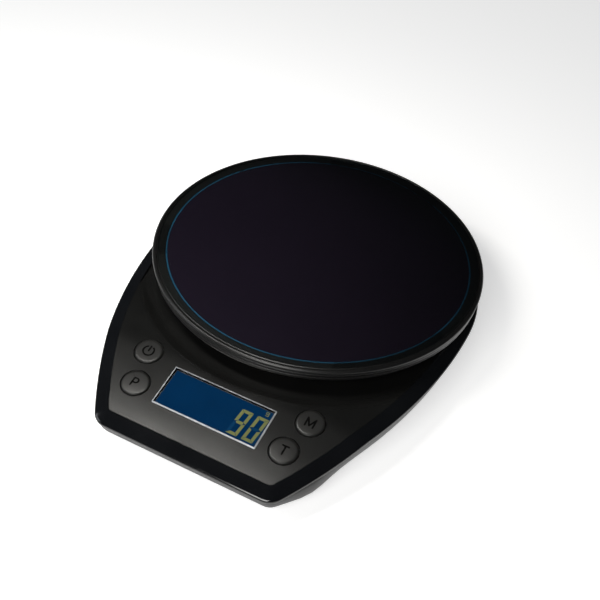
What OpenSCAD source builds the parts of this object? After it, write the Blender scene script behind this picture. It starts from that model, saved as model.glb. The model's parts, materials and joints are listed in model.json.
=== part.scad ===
// Letter scale with a round glass weighing platform and a solar panel under the glass.
// The platform's axis stands on hub(); the table is Z = 0; the front faces -Y.

/* [Body] */
// Radius of the body's round back, measured from the platform's axis
back_r = 82.5; // [82:0.5:84]
// Distance from the platform's axis to the front edge
front_reach = 130; // [129:0.5:132]
// Radius of the long curve of each side
side_r = 235; // [225:5:260]
// Radius of the two front corners
corner_r = 9; // [8:0.5:11]
// Height of the level part of the deck above the table
deck_h = 24.7; // [24.4:0.1:25]
// Slope of the front part of the deck, in degrees
deck_tilt = 9.4; // [9:0.1:10]
// Distance from the platform's axis to the fold where the deck starts to slope
fold_reach = 86; // [85:0.5:87]
// Width of the glossy band between the outer edge and the deck panel
band_w = 6.3; // [6:0.1:6.6]

/* [Weighing platform] */
// Outer radius of the platform
platform_r = 81.8; // [81:0.1:82]
// Height of the platform's top above the table
platform_top = 38; // [37.8:0.1:38.6]
// Height of the platform's outer wall
rim_h = 6.5; // [6.3:0.1:6.7]
// Radius of the glass disc
glass_r = 79.8; // [79:0.1:80]
// Thickness of the glass disc
glass_t = 1; // [0.8:0.1:1.2]
// Radius of the thin coloured ring printed around the solar panel
ring_r = 75; // [74:0.5:76]
// How far the platform sinks at full load
platform_travel = 0.8; // [0.6:0.1:0.8]

/* [Display] */
// Distance from the platform's axis to the middle of the display
display_reach = 101.65; // [101:0.05:103]
// Width of the display lens
lens_w = 51.4; // [50:0.2:52]
// Depth of the display lens, along the slope
lens_d = 20.8; // [20:0.2:21]

/* [Buttons] */
// Radius of each button
button_r = 6.55; // [6.3:0.05:6.6]
// How far a button can be pressed
button_travel = 0.8; // [0.6:0.1:0.8]

/* [Hidden] */
$fn = 96;
eps = 0.01;
gap = 0.15;                                   // clearance between fixed parts
hub_y = (front_reach - back_r) / 2;           // puts the origin under the middle of the body

// Colours
case_black = [0.10, 0.10, 0.11];
gloss_black = [0.04, 0.05, 0.06];
key_grey = [0.16, 0.16, 0.16];
steel_grey = [0.62, 0.63, 0.65];

// Body: heights and walls
case_base_z = 1.5;                            // underside of the lower case
floor_top_z = 3.5;
wall_t = 2;
lip_drop = 3.4;                               // from the deck's level down to the case joint
shell_inset = 1.2;                            // how far the lower case stands inside the lip
hull_inset = 13;                              // how far its underside draws in
panel_t = 2.6;
ledge_inset = 9.2;
panel_inset = band_w + gap;
fold_blend = 4;
side_steps = 24;
corner_steps = 6;
back_steps = 18;

// Well around the platform
well_r = 84;
well_depth = 1.5;
well_shoulder = 6;
hub_hole_r = 15.5;
lead_hole_y = -40;
lead_hole_r = 3;

// Screws and posts: places are measured from the platform's axis
case_posts = [[55, -76], [68, -10], [33, 57]];
case_post_r = 3.2;
case_boss_r = 4.3;
post_split_z = 19;                            // where a panel post meets a case boss
screw_seat_z = 11;                            // where the case screws' heads sit
self_tap_r = 1.2;
self_tap_clear_r = 1.6;
self_tap_head_r = 2.9;
foot_places = [[30, -106], [48, 28]];
foot_r = 6;
foot_t = 2.3;
foot_recess = 0.8;

// Load cell
cell_len = 80;
cell_w = 12.7;
cell_h = 10;
cell_z = 5.5;
cell_bolt_y = [25, 35];
bolt_r = 1.95;
bolt_head_r = 3.5;
bolt_head_h = 2.2;
lever_bore_r = 4;
lever_bore_y = 6;
spacer_t = 1.5;
plate_t = 1.5;
plate_w = 30;
plate_z = cell_z + cell_h + spacer_t;
stop_gap = platform_travel + 0.1;

// Platform
rim_z = platform_top - rim_h;
pad_t = 0.5;
solar_t = 3.1;
print_t = 0.1;
glass_z = platform_top - glass_t;
tray_floor_z = glass_z - print_t - solar_t - pad_t;
carrier_z = 26;
carrier_t = 2.5;
carrier_arm_r = 58;
carrier_boss_r = 13.5;
carrier_screw_x = 9.8;
tray_post_r = 4;

// Deck frame: local origin on the deck in the middle of the display
board_z = -9.4;
board_t = 1.2;
board_top = board_z + board_t;
board_w = 88.6;
board_low = -15.5;
board_high = 17;
board_posts = [[29, 13.6], [29, -12.6]];
glass_module = [49.8, 19.2];                   // display glass, across and along the slope
lens_ledge = 0.6;
lens_t = 1.2;
lens_proud = 0.35;
button_places = [[-41.06, 11.69], [41.06, 11.69], [-37.07, -5.43], [37.07, -5.43]];
button_hole_gap = 0.3;
button_proud = 0.6;
flange_r = 7.3;
flange_z = -4.3;
flange_t = 0.95;
collar_t = 0.5;                               // ring under the deck round each button's hole
plunger_r = 1.65;
plunger_len = 2;
plunger_top = -4.7;
switch_top = plunger_top - button_travel - 0.1;
legend_w = 0.8;
legend_h = 5;
sign_r = 2.95;

// Battery compartment
battery_x = -40;
battery_y = 4;
battery_r = 10;
battery_t = 3.2;
battery_wall = 1.4;
battery_z = 3.7;
door_w = 25;
door_d = 29;
door_t = 1.4;
door_hinge_z = 2.6;
hinge_r = 1.05;
stub_r = 0.7;
stub_len = 1.2;
hinge_slot = 6;
cell_play = 0.5;                              // room round the coin cell
cup_top = battery_z + battery_t + 0.7;

// ---------- outline of the body, drawn in by d ----------
function corner_c(d) = max(corner_r - d, 0.6);
function corner_y(d) = -(front_reach - d - corner_c(d));
function side_x() = side_r - back_r;
function corner_x(d) =
  sqrt(pow(side_r - d - corner_c(d), 2) - pow(corner_y(d), 2)) - side_x();
function turn_angle(d) = atan2(corner_y(d), corner_x(d) + side_x());

function arc(cx, cy, r, from, to, steps, first) =
  [for (i = [first:steps]) let (a = from + (to - from) * i / steps)
    [cx + r * cos(a), cy + r * sin(a)]];

function half_outline(d) = concat(
  arc(corner_x(d), corner_y(d), corner_c(d), -90, turn_angle(d), corner_steps, 0),
  arc(-side_x(), 0, side_r - d, turn_angle(d), 0, side_steps, 1),
  arc(0, 0, back_r - d, 0, 90, back_steps, 1));

function outline(d) = let (h = half_outline(d))
  concat(h, [for (i = [len(h) - 2:-1:0]) [-h[i][0], h[i][1]]]);

// ---------- height of the deck, level at the back and sloping to the front ----------
function deck_z(y) = let (s = -fold_reach + fold_blend - y)
  s <= 0 ? deck_h
  : s < 2 * fold_blend ? deck_h - tan(deck_tilt) * s * s / (4 * fold_blend)
  : deck_h - tan(deck_tilt) * (s - fold_blend);

// The lower case's wall is a quarter of an ellipse that swells beside the two front corners
hull_steps = 8;
swell = 3.1;
swell_place = [52.5, -112];
swell_reach = 9;
function swell_share(p) =
  exp(-(pow(abs(p[0]) - swell_place[0], 2) + pow(p[1] - swell_place[1], 2)) / (2 * pow(swell_reach, 2)));
function hull_row(k, low, extra) = let (
  a = 90 * k / hull_steps,
  inset = shell_inset + extra + hull_inset * (1 - cos(a)),
  plain = outline(inset),
  wide = outline(inset - swell))
  [for (i = [0:len(plain) - 1]) let (
    share = swell_share(plain[i]) * sin(2 * a),
    p = plain[i] + share * (wide[i] - plain[i]))
    [p[0], p[1], low + (deck_z(p[1]) - lip_drop - low) * (1 - sin(a))]];

// ---------- building blocks ----------
// Skins rows of points together; the last row of a closed loft joins the first.
function flat_list(rows) = [for (row = rows) for (p = row) p];
function skin(n, k, m) = [for (i = [0:n - 1]) let (j = (i + 1) % n)
  each [[k * n + i, k * n + j, m * n + j], [k * n + i, m * n + j, m * n + i]]];

module ring_loft(section) {
  rows = [for (s = section) [for (p = outline(s[0])) [p[0], p[1], deck_z(p[1]) - s[1]]]];
  n = len(rows[0]);
  count = len(rows);
  polyhedron(flat_list(rows), [for (k = [0:count - 1]) each skin(n, k, (k + 1) % count)]);
}

module hull_shell() {
  outer = [for (k = [0:hull_steps]) hull_row(k, case_base_z, 0)];
  inner = [for (k = [hull_steps:-1:0]) hull_row(k, floor_top_z, wall_t)];
  rows = concat(outer, inner);
  n = len(rows[0]);
  count = len(rows);
  polyhedron(flat_list(rows), concat(
    [for (k = [0:hull_steps - 1]) each skin(n, k, k + 1)],
    [for (k = [hull_steps + 1:count - 1]) each skin(n, k, (k + 1) % count)],
    [[for (i = [0:n - 1]) hull_steps * n + i]],
    [[for (i = [n - 1:-1:0]) (hull_steps + 1) * n + i]]));
}

module at_hub() translate([0, hub_y, 0]) children();
module on_deck()
  at_hub() translate([0, -display_reach, deck_z(-display_reach)])
    rotate([deck_tilt, 0, 0]) children();
module both_sides(places) for (p = places) for (s = [-1, 1]) translate([s * p[0], p[1], 0]) children();
module at_button(i) on_deck() translate([button_places[i][0], button_places[i][1], 0]) children();
module rod(r, low, high) translate([0, 0, low]) cylinder(r = r, h = high - low);
module block(size, low, high) translate([0, 0, low]) linear_extrude(high - low) square(size, center = true);

// Screw standing on its head at low, with its tip at high
module screw_up(r, head_r, head_h, low, high, socket_r) difference() {
  union() {
    rod(r, low, high);
    rod(head_r, low, low + head_h);
  }
  rod(socket_r, low - eps, low + head_h * 0.6);
}

// ---------- casing ----------
module hinge_line() translate([0, -(door_d + 1) / 2, door_hinge_z]) rotate([0, 90, 0]) children();

// Cup for the coin cell, a pad round the door and a ridge over its hinge
module battery_walls() {
  rod(battery_r + cell_play + battery_wall, case_base_z + 0.5, cup_top + battery_wall);
  block([door_w + 5, door_d + 4], case_base_z + 0.5, floor_top_z + 1);
  translate([0, -door_d / 2, 0])
    block([door_w + 5, hinge_slot + 2.5], floor_top_z, door_hinge_z + hinge_r + 1.8);
}

module battery_space() {
  rod(battery_r + cell_play, case_base_z - eps, cup_top);
  block([door_w + 2 * gap, door_d + 2 * gap], case_base_z - eps, case_base_z + door_t + gap);
  translate([0, -door_d / 2, 0])
    block([door_w + 2 * gap, hinge_slot], case_base_z - eps, door_hinge_z + hinge_r + 0.4);
  hinge_line() cylinder(r = stub_r + 0.05, h = door_w + 2 * stub_len + 0.4, center = true);
}

module lower_case() color(case_black) at_hub() difference() {
  union() {
    hull_shell();
    both_sides(case_posts) rod(case_boss_r, floor_top_z - 0.3, post_split_z);
    translate([0, -(cell_bolt_y[0] + cell_bolt_y[1]) / 2, 0])
      block([cell_w + 4, 20], case_base_z + 0.5, cell_z);
    translate([battery_x, battery_y, 0]) battery_walls();
    translate([0, (cell_bolt_y[0] + cell_bolt_y[1]) / 2, 0])
      block([cell_w, 8], case_base_z + 0.5, cell_z - stop_gap - 1);
  }
  both_sides(case_posts) {
    rod(self_tap_clear_r, case_base_z - 1, post_split_z + 1);
    rod(self_tap_head_r + 0.2, case_base_z - 1, screw_seat_z);
  }
  both_sides(foot_places) rod(foot_r + gap / 2, case_base_z - 1, case_base_z + foot_recess);
  for (y = cell_bolt_y) translate([0, -y, 0]) {
    rod(bolt_r + 0.25, case_base_z - 1, cell_z + 1);
    rod(bolt_head_r + 0.3, case_base_z - 1, case_base_z + bolt_head_h + 0.4);
  }
  translate([battery_x, battery_y, 0]) battery_space();
}

// Section of the glossy band, as [inset, drop below the deck]
band_drop = lip_drop - 0.05;
skirt_inset = shell_inset + wall_t + 0.6;
band_section = [
  [band_w, 0], [0.9, 1.8], [0.3, 2.2], [0, 2.8], [0, band_drop],
  [skirt_inset, band_drop], [skirt_inset, 5.4], [4.7, 5.4], [4.7, 4.5],
  [ledge_inset, 4.5], [ledge_inset, panel_t + 0.05], [band_w, panel_t + 0.05]
];
module upper_case() color(gloss_black) at_hub() ring_loft(band_section);

module panel_slab() {
  reach = front_reach + 5;
  ys = concat([back_r + 5], [for (i = [0:8]) -fold_reach + fold_blend * (1 - i / 4)], [-reach]);
  top = [for (y = ys) [y, deck_z(y)]];
  under = [for (i = [len(ys) - 1:-1:0]) [ys[i], deck_z(ys[i]) - panel_t]];
  intersection() {
    translate([-100, 0, 0]) rotate([90, 0, 90]) linear_extrude(200) polygon(concat(top, under));
    linear_extrude(60) polygon(outline(panel_inset));
  }
}

module well_cut() intersection() {
  rotate_extrude() polygon(concat(
    [[0, deck_h - well_depth]],
    [for (i = [0:8]) [well_r + well_shoulder * i / 8,
      deck_h - well_depth * (1 + cos(180 * i / 8)) / 2]],
    [[well_r + well_shoulder, deck_h + 2], [0, deck_h + 2]]));
  linear_extrude(60) polygon(outline(ledge_inset + 1));
}

module deck_panel() color(case_black) difference() {
  union() {
    at_hub() difference() {
      panel_slab();
      well_cut();
      rod(hub_hole_r, 0, 60);
      translate([0, lead_hole_y, 0]) rod(lead_hole_r, 0, 60);
    }
    at_hub() for (p = case_posts) for (s = [-1, 1]) translate([s * p[0], p[1], 0])
      rod(case_post_r, post_split_z, deck_z(p[1]) - well_depth - 0.6);
    on_deck() both_sides(board_posts) rod(2.2, board_top, -panel_t + 0.5);
    for (i = [0:3]) at_button(i) rod(flange_r, -panel_t - collar_t, -panel_t + 0.5);
  }
  at_hub() both_sides(case_posts) rod(self_tap_r, post_split_z - 1, post_split_z + 2.8);
  on_deck() {
    both_sides(board_posts) rod(0.9, board_top - 1, -panel_t - 0.4);
    block([lens_w + 2 * gap, lens_d + 2 * gap], lens_proud - lens_t, 3);
    block([lens_w - 2 * lens_ledge, lens_d - 2 * lens_ledge], -panel_t - 1, 3);
  }
  for (i = [0:3]) at_button(i) rod(button_r + button_hole_gap, -panel_t - 2, 3);
}

module case_screws() color(steel_grey) at_hub() both_sides(case_posts)
  screw_up(self_tap_r - 0.05, self_tap_head_r, 1.8, screw_seat_z - 1.8, post_split_z + 2.6, 1.1);

module rubber_feet() color([0.2, 0.2, 0.2]) at_hub() both_sides(foot_places) rotate_extrude()
  polygon([[0, 0], [foot_r - 0.6, 0], [foot_r, 0.6], [foot_r, foot_t], [0, foot_t]]);

module battery_door() color(case_black) at_hub() translate([battery_x, battery_y, 0]) union() {
  difference() {
    block([door_w, door_d - 0.4], case_base_z, case_base_z + door_t);
    translate([0, door_d / 2 - 4, case_base_z]) rotate([0, 90, 0])
      cylinder(r = 0.7, h = 12, center = true);
  }
  hinge_line() {
    cylinder(r = hinge_r, h = door_w, center = true);
    cylinder(r = stub_r, h = door_w + 2 * stub_len, center = true);
  }
  translate([0, (1 - door_d) / 2 - 0.2, 0])
    block([door_w, 1.6], case_base_z + 0.5, case_base_z + door_t);
}

module coin_cell() color(steel_grey) at_hub() translate([battery_x, battery_y, battery_z]) rotate_extrude()
  polygon([[0, 0], [battery_r - 1.4, 0], [battery_r - 1.2, 0.4], [battery_r - 0.3, 0.4],
    [battery_r, 0.7], [battery_r, battery_t], [0, battery_t]]);

module battery_contacts() color([0.8, 0.7, 0.4]) at_hub() translate([battery_x, battery_y, 0]) {
  block([5, 14], cup_top - 0.4, cup_top);
  translate([0, battery_r / 2 + 0.3, 0]) block([3, battery_r], battery_z - 0.4, battery_z - 0.1);
}

// ---------- weighing mechanism ----------
module load_cell() color([0.72, 0.73, 0.75]) at_hub() difference() {
  block([cell_w, cell_len], cell_z, cell_z + cell_h);
  for (y = [-lever_bore_y, lever_bore_y]) translate([0, y, cell_z + cell_h / 2]) rotate([0, 90, 0])
    cylinder(r = lever_bore_r, h = 2 * cell_w, center = true);
  block([2 * cell_w, 2 * lever_bore_y], cell_z + cell_h / 2 - 1, cell_z + cell_h / 2 + 1);
  for (y = cell_bolt_y) for (s = [-1, 1]) translate([0, s * y, 0]) rod(bolt_r + 0.05, 0, 30);
}

module gauge_coating() color([0.92, 0.92, 0.90]) at_hub() {
  block([9, 24], cell_z + cell_h, cell_z + cell_h + 0.4);
  block([9, 24], cell_z - 0.4, cell_z);
}

module cell_base_screws() color(steel_grey) at_hub() for (y = cell_bolt_y) translate([0, -y, 0])
  screw_up(bolt_r, bolt_head_r, bolt_head_h, case_base_z + 0.3, cell_z + 8, 1.7);

module overload_pad() color([0.25, 0.25, 0.25]) at_hub()
  translate([0, (cell_bolt_y[0] + cell_bolt_y[1]) / 2, 0])
    block([cell_w - 2, 6], cell_z - stop_gap - 1, cell_z - stop_gap);

module cell_spacer() color(steel_grey) at_hub()
  translate([0, (cell_bolt_y[0] + cell_bolt_y[1]) / 2, 0]) difference() {
    block([cell_w, 20], cell_z + cell_h, plate_z);
    for (s = [-5, 5]) translate([0, s, 0]) rod(bolt_r + 0.1, 0, 30);
  }

module lift_plate() color([0.75, 0.76, 0.78]) at_hub() difference() {
  translate([0, 12, 0]) block([plate_w, 56], plate_z, plate_z + plate_t);
  for (y = cell_bolt_y) translate([0, y, 0]) rod(bolt_r + 0.1, 0, 30);
  for (s = [-1, 1]) translate([s * carrier_screw_x, 0, 0]) rod(self_tap_clear_r, 0, 30);
}

module cell_top_screws() color(steel_grey) at_hub() for (y = cell_bolt_y)
  translate([0, y, plate_z + plate_t + bolt_head_h]) mirror([0, 0, 1])
    screw_up(bolt_r, bolt_head_r, bolt_head_h, 0, 11, 1.7);

module carrier_arms() for (a = [45, 135]) rotate(a)
  block([2 * carrier_arm_r, 13], carrier_z, carrier_z + carrier_t);

module platform_carrier() color(case_black) at_hub() difference() {
  union() {
    carrier_arms();
    rod(24, carrier_z, carrier_z + carrier_t);
    rod(carrier_boss_r, plate_z + plate_t, carrier_z + 1);
    for (a = [45:90:315]) rotate(a) translate([carrier_arm_r, 0, 0])
      rod(6.5, carrier_z, carrier_z + carrier_t);
  }
  for (s = [-1, 1]) translate([s * carrier_screw_x, 0, 0]) rod(self_tap_r, 0, carrier_z + 0.5);
  for (a = [45:90:315]) rotate(a) translate([carrier_arm_r, 0, 0]) {
    rod(self_tap_clear_r, 0, 60);
    rod(self_tap_head_r + 0.2, 0, carrier_z + 1.5);
  }
  rod(5, 0, 60);
}

module carrier_screws() color(steel_grey) at_hub() for (s = [-1, 1])
  translate([s * carrier_screw_x, 0, 0])
    screw_up(self_tap_r - 0.05, 2.3, 1.3, plate_z - 1.3, plate_z + 8, 1);

module tray_screws() color(steel_grey) at_hub() for (a = [45:90:315]) rotate(a)
  translate([carrier_arm_r, 0, 0])
    screw_up(self_tap_r - 0.05, self_tap_head_r - 0.3, 1.2, carrier_z + 0.2, carrier_z + 6.5, 1);

// Black tray: a recess for the glass, two fine grooves round the wall, a dished underside
module platform_tray() color(gloss_black) at_hub() difference() {
  union() {
    rotate_extrude() polygon([
      [0, rim_z], [62, rim_z], [62, rim_z - 1.6], [64, rim_z - 1.6], [64, rim_z],
      [platform_r - 1.6, rim_z], [platform_r - 0.7, rim_z + 0.5],
      [platform_r - 0.45, rim_z + 2.1], [platform_r - 0.75, rim_z + 2.3],
      [platform_r - 0.3, rim_z + 2.6], [platform_r - 0.15, rim_z + 4.2],
      [platform_r - 0.45, rim_z + 4.4], [platform_r, rim_z + 4.7],
      [platform_r, platform_top - 0.7], [platform_r - 0.7, platform_top],
      [glass_r + gap, platform_top], [glass_r + gap, tray_floor_z], [0, tray_floor_z]]);
    for (a = [45:90:315]) rotate(a) translate([carrier_arm_r, 0, 0])
      rod(tray_post_r, carrier_z + carrier_t, rim_z + 0.5);
  }
  for (a = [45:90:315]) rotate(a) translate([carrier_arm_r, 0, 0])
    rod(self_tap_r, carrier_z, tray_floor_z - 0.6);
  translate([0, lead_hole_y, 0]) rod(2.4, 0, 60);
}

module foam_pad() color([0.3, 0.3, 0.32]) at_hub() difference() {
  rod(ring_r, tray_floor_z, tray_floor_z + pad_t);
  translate([0, lead_hole_y, 0]) rod(4, 0, 60);
}

module solar_panel() color([0.09, 0.06, 0.11]) at_hub()
  rod(glass_r - 0.4, tray_floor_z + pad_t, glass_z - print_t);

module printed_ring(inner, outer) difference() {
  rod(outer, glass_z - print_t, glass_z);
  rod(inner, 0, 60);
}
module border_print() color([0.03, 0.03, 0.03]) at_hub() printed_ring(ring_r + 0.35, glass_r - 0.2);
module ring_print() color([0.1, 0.35, 0.45]) at_hub() printed_ring(ring_r - 0.35, ring_r + 0.35);

module platform_glass() color([0.5, 0.55, 0.6, 0.35]) at_hub() rotate_extrude()
  polygon([[0, glass_z], [glass_r, glass_z], [glass_r, platform_top - 0.3],
    [glass_r - 0.3, platform_top], [0, platform_top]]);

// ---------- leads ----------
function ring_at(p, dir, r, steps) = let (
  side = cross(dir, [1, 0, 0.13]),
  u = side / norm(side),
  v = cross(dir, u) / norm(dir))
  [for (i = [0:steps - 1]) p + r * (cos(360 * i / steps) * u + sin(360 * i / steps) * v)];

module lead(route, r) {
  n = 8;
  last = len(route) - 1;
  rows = [for (k = [0:last])
    ring_at(route[k], route[min(k + 1, last)] - route[max(k - 1, 0)], r, n)];
  polyhedron(flat_list(rows), concat(
    [for (k = [0:last - 1]) each skin(n, k, k + 1)],
    [[for (i = [n - 1:-1:0]) i], [for (i = [0:n - 1]) last * n + i]]));
}

// Two leads from the solar panel, down through the deck to the board
solar_route = [[0, -40, 33.2], [0, -40.5, 29], [0, -41, 24], [0, -43, 19], [0, -49, 15],
  [0, -58, 12.5], [0, -70, 11.6], [0, -80, 11.4], [0, -86, 12.4], [0, -88, 14.7]];
module solar_leads() color([0.6, 0.1, 0.1]) at_hub() for (s = [-0.9, 0.9])
  translate([s, 0, 0]) lead(solar_route, 0.6);

// Four leads from the load cell's gauges to the board
cell_route = [[2, -12, 15.8], [2, -20, 15.8], [2, -41, 15.8], [2.3, -43.5, 14.6], [3, -47, 11.5],
  [4, -62, 10], [5, -76, 10], [5, -85, 11.8], [5, -87.5, 14.7]];
module cell_leads() color([0.15, 0.4, 0.2]) at_hub() for (i = [0:3])
  translate([i * 1.1, 0, 0]) lead(cell_route, 0.25);

// ---------- board and display, in the deck's own frame ----------
module main_board() color([0.05, 0.35, 0.16]) on_deck() difference() {
  translate([0, (board_low + board_high) / 2, 0])
    block([board_w, board_high - board_low], board_z, board_top);
  both_sides(board_posts) rod(1.1, board_z - 1, board_top + 1);
}

module board_screws() color(steel_grey) on_deck() both_sides(board_posts)
  screw_up(0.85, 1.9, 1.1, board_z - 1.1, board_top + 3.6, 0.8);

module controller_chip() color([0.04, 0.04, 0.04]) on_deck() translate([-6, 2, board_z]) rotate_extrude()
  polygon([[0, 0], [7, 0], [6.4, -0.7], [4.5, -1.2], [0, -1.4]]);

module board_components() color([0.55, 0.45, 0.3]) on_deck() {
  for (i = [0:4]) translate([10 + 3.2 * i, -4, 0]) block([1.4, 2.4], board_z - 0.9, board_z);
  for (i = [0:2]) translate([-26 + 4 * i, -8, 0]) block([2.4, 1.4], board_z - 0.7, board_z);
  translate([18, 6, 0]) rod(3.2, board_z - 3, board_z);
}

module tact_switches() color([0.12, 0.12, 0.13]) for (i = [0:3]) at_button(i) difference() {
  block([6, 6], board_top, switch_top);
  rod(plunger_r + 0.1, board_top + 0.6, 0);
}

module plunger(i) color([0.85, 0.85, 0.82]) at_button(i)
  rod(plunger_r, plunger_top - plunger_len, plunger_top);
module plunger_power() plunger(0);
module plunger_mode() plunger(1);
module plunger_count() plunger(2);
module plunger_tare() plunger(3);

// Keycap with a soft edge, a flange that keeps it under the deck and a stem on its switch
module keycap(i) color(key_grey) at_button(i) difference() {
  rotate_extrude() polygon([
    [0, plunger_top], [2.2, plunger_top], [2.2, flange_z], [flange_r, flange_z],
    [flange_r, flange_z + flange_t], [button_r, flange_z + flange_t],
    [button_r, button_proud - 0.7], [button_r - 0.2, button_proud - 0.3],
    [button_r - 0.7, button_proud - 0.05], [button_r - 1.4, button_proud], [0, button_proud]]);
  translate([0, 0, button_proud - 0.25]) linear_extrude(1) children();
}

module bar(a, b) translate((a + b) / 2) rotate(atan2(b[1] - a[1], b[0] - a[0]))
  square([norm(b - a) + legend_w, legend_w], center = true);

module power_sign() {
  difference() {
    circle(r = sign_r);
    circle(r = sign_r - legend_w);
    translate([-1.2, 0]) square([2.4, legend_h]);
  }
  bar([0, 0], [0, sign_r - 0.3]);
}

module letter_m() {
  h = (legend_h - legend_w) / 2;
  for (s = [-1, 1]) {
    bar([s * h * 0.9, -h], [s * h * 0.9, h]);
    bar([s * h * 0.9, h], [0, -h * 0.75]);
  }
}

module letter_p() {
  h = (legend_h - legend_w) / 2;
  low = -0.2;
  bar([-1.45, -h], [-1.45, h]);
  bar([-1.45, h], [-0.15, h]);
  bar([-1.45, low], [-0.15, low]);
  translate([-0.15, (h + low) / 2]) intersection() {
    difference() {
      circle(r = (h - low + legend_w) / 2);
      circle(r = (h - low - legend_w) / 2);
    }
    translate([0, -5]) square([10, 10]);
  }
}

module letter_t() {
  h = (legend_h - legend_w) / 2;
  bar([0, -h], [0, h]);
  bar([-h * 0.7, h], [h * 0.7, h]);
}

module button_power() keycap(0) power_sign();
module button_mode() keycap(1) letter_m();
module button_count() keycap(2) letter_p();
module button_tare() keycap(3) letter_t();

// Clear lens with a bevel on its four upper edges
lens_bevel = 0.55;
lens_bevel_h = 0.35;
module display_lens() color([0.6, 0.7, 0.8, 0.35]) on_deck() hull() {
  block([lens_w, lens_d], lens_proud - lens_t, lens_proud - lens_bevel_h);
  block([lens_w - 2 * lens_bevel, lens_d - 2 * lens_bevel], lens_proud - lens_t, lens_proud);
}

display_top = lens_proud - lens_t - 0.1;
display_t = 2.2;
module display_glass() color([0.02, 0.12, 0.25]) on_deck()
  block(glass_module, display_top - display_t, display_top);

// Seven-segment figures: a segment is a bar, and each digit lists the bars that are lit
digit_w = 5.4;
digit_h = 13.4;
segment_w = 1.45;
segment_gap = 0.12;
digit_slant = 6;
nine = [0, 1, 2, 3, 5, 6];
zero = [0, 1, 2, 3, 4, 5];
corners = [
  [-(digit_w - segment_w) / 2, (digit_h - segment_w) / 2],
  [(digit_w - segment_w) / 2, (digit_h - segment_w) / 2],
  [(digit_w - segment_w) / 2, 0],
  [(digit_w - segment_w) / 2, -(digit_h - segment_w) / 2],
  [-(digit_w - segment_w) / 2, -(digit_h - segment_w) / 2],
  [-(digit_w - segment_w) / 2, 0]];
segment_ends = [[0, 1], [1, 2], [2, 3], [3, 4], [4, 5], [5, 0], [5, 2]];
at_corner = [[1, 1], [1, 0], [0, 1], [1, 1], [1, 0], [0, 1]];
function segment(k) = let (
  from = corners[segment_ends[k][0]],
  to = corners[segment_ends[k][1]],
  along = (to - from) / norm(to - from),
  across = [-along[1], along[0]],
  half = norm(to - from) / 2 - segment_gap,
  w = segment_w / 2,
  shape = k == 6
    ? [[-half, 0], [w - half, w], [half - w, w], [half, 0], [half - w, -w], [w - half, -w]]
    : [[-half - at_corner[k][0] * w, w], [half + at_corner[k][1] * w, w], [half - w, -w], [w - half, -w]])
  [for (p = shape) (from + to) / 2 + p[0] * along + p[1] * across];
function leaning(points) = [for (p = points) [p[0] + p[1] * tan(digit_slant), p[1]]];

module digit(lit) for (k = lit) polygon(leaning(segment(k)));

module display_digits() color([0.6, 0.6, 0.15]) on_deck() translate([0, 0, display_top])
  linear_extrude(0.1) {
    translate([13.5, -1.5]) digit(nine);
    translate([21.1, -1.5]) digit(zero);
    translate([22.3, 7.6]) for (ends = [[[-0.5, 0.9], [0.5, 0.9]], [[-0.5, 0], [0.5, 0]],
      [[-0.5, -0.9], [0.5, -0.9]]]) translate((ends[0] + ends[1]) / 2) square([1.5, 0.3], center = true);
    translate([22.95, 7.6]) square([0.3, 2.1], center = true);
    translate([21.65, 8.05]) square([0.3, 1.2], center = true);
  }

holder_wall = 1.3;
module display_holder() color([0.85, 0.86, 0.86]) on_deck() difference() {
  block([glass_module[0] + 2 * holder_wall, glass_module[1] + 2 * holder_wall],
    board_top, -panel_t - 0.1);
  block([glass_module[0] + 2 * gap, glass_module[1] + 2 * gap], board_top - 1, 0);
}

backlight_t = 2.4;
module display_backlight() color([0.1, 0.3, 0.6]) on_deck()
  block([glass_module[0] - 1, glass_module[1] - 7],
    display_top - display_t - backlight_t, display_top - display_t);

module contact_strips() color([0.85, 0.5, 0.6]) on_deck() for (s = [-1, 1])
  translate([0, s * (glass_module[1] / 2 - 1.4), 0])
    block([glass_module[0] - 4, 2], board_top, display_top - display_t);

lower_case();
upper_case();
deck_panel();
case_screws();
rubber_feet();
battery_door();
coin_cell();
battery_contacts();
load_cell();
gauge_coating();
cell_base_screws();
overload_pad();
cell_spacer();
lift_plate();
cell_top_screws();
platform_carrier();
carrier_screws();
platform_tray();
tray_screws();
foam_pad();
solar_panel();
border_print();
ring_print();
platform_glass();
solar_leads();
cell_leads();
main_board();
board_screws();
controller_chip();
board_components();
tact_switches();
button_power();
button_mode();
button_count();
button_tare();
plunger_power();
plunger_mode();
plunger_count();
plunger_tare();
display_lens();
display_glass();
display_digits();
display_backlight();
display_holder();
contact_strips();
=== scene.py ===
# %% [markdown]
# # A letter scale with a round solar platform
# The scale is a thin black body with a sloping front, and a round glass platform floats above it. The
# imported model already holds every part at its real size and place. This notebook gives the parts that
# are seen a finer mesh, gives every part a material, and lights the whole as a small product.

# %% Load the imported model
import json
import math

import bmesh
import bpy
import numpy as np
from mathutils import Matrix, Vector

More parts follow.
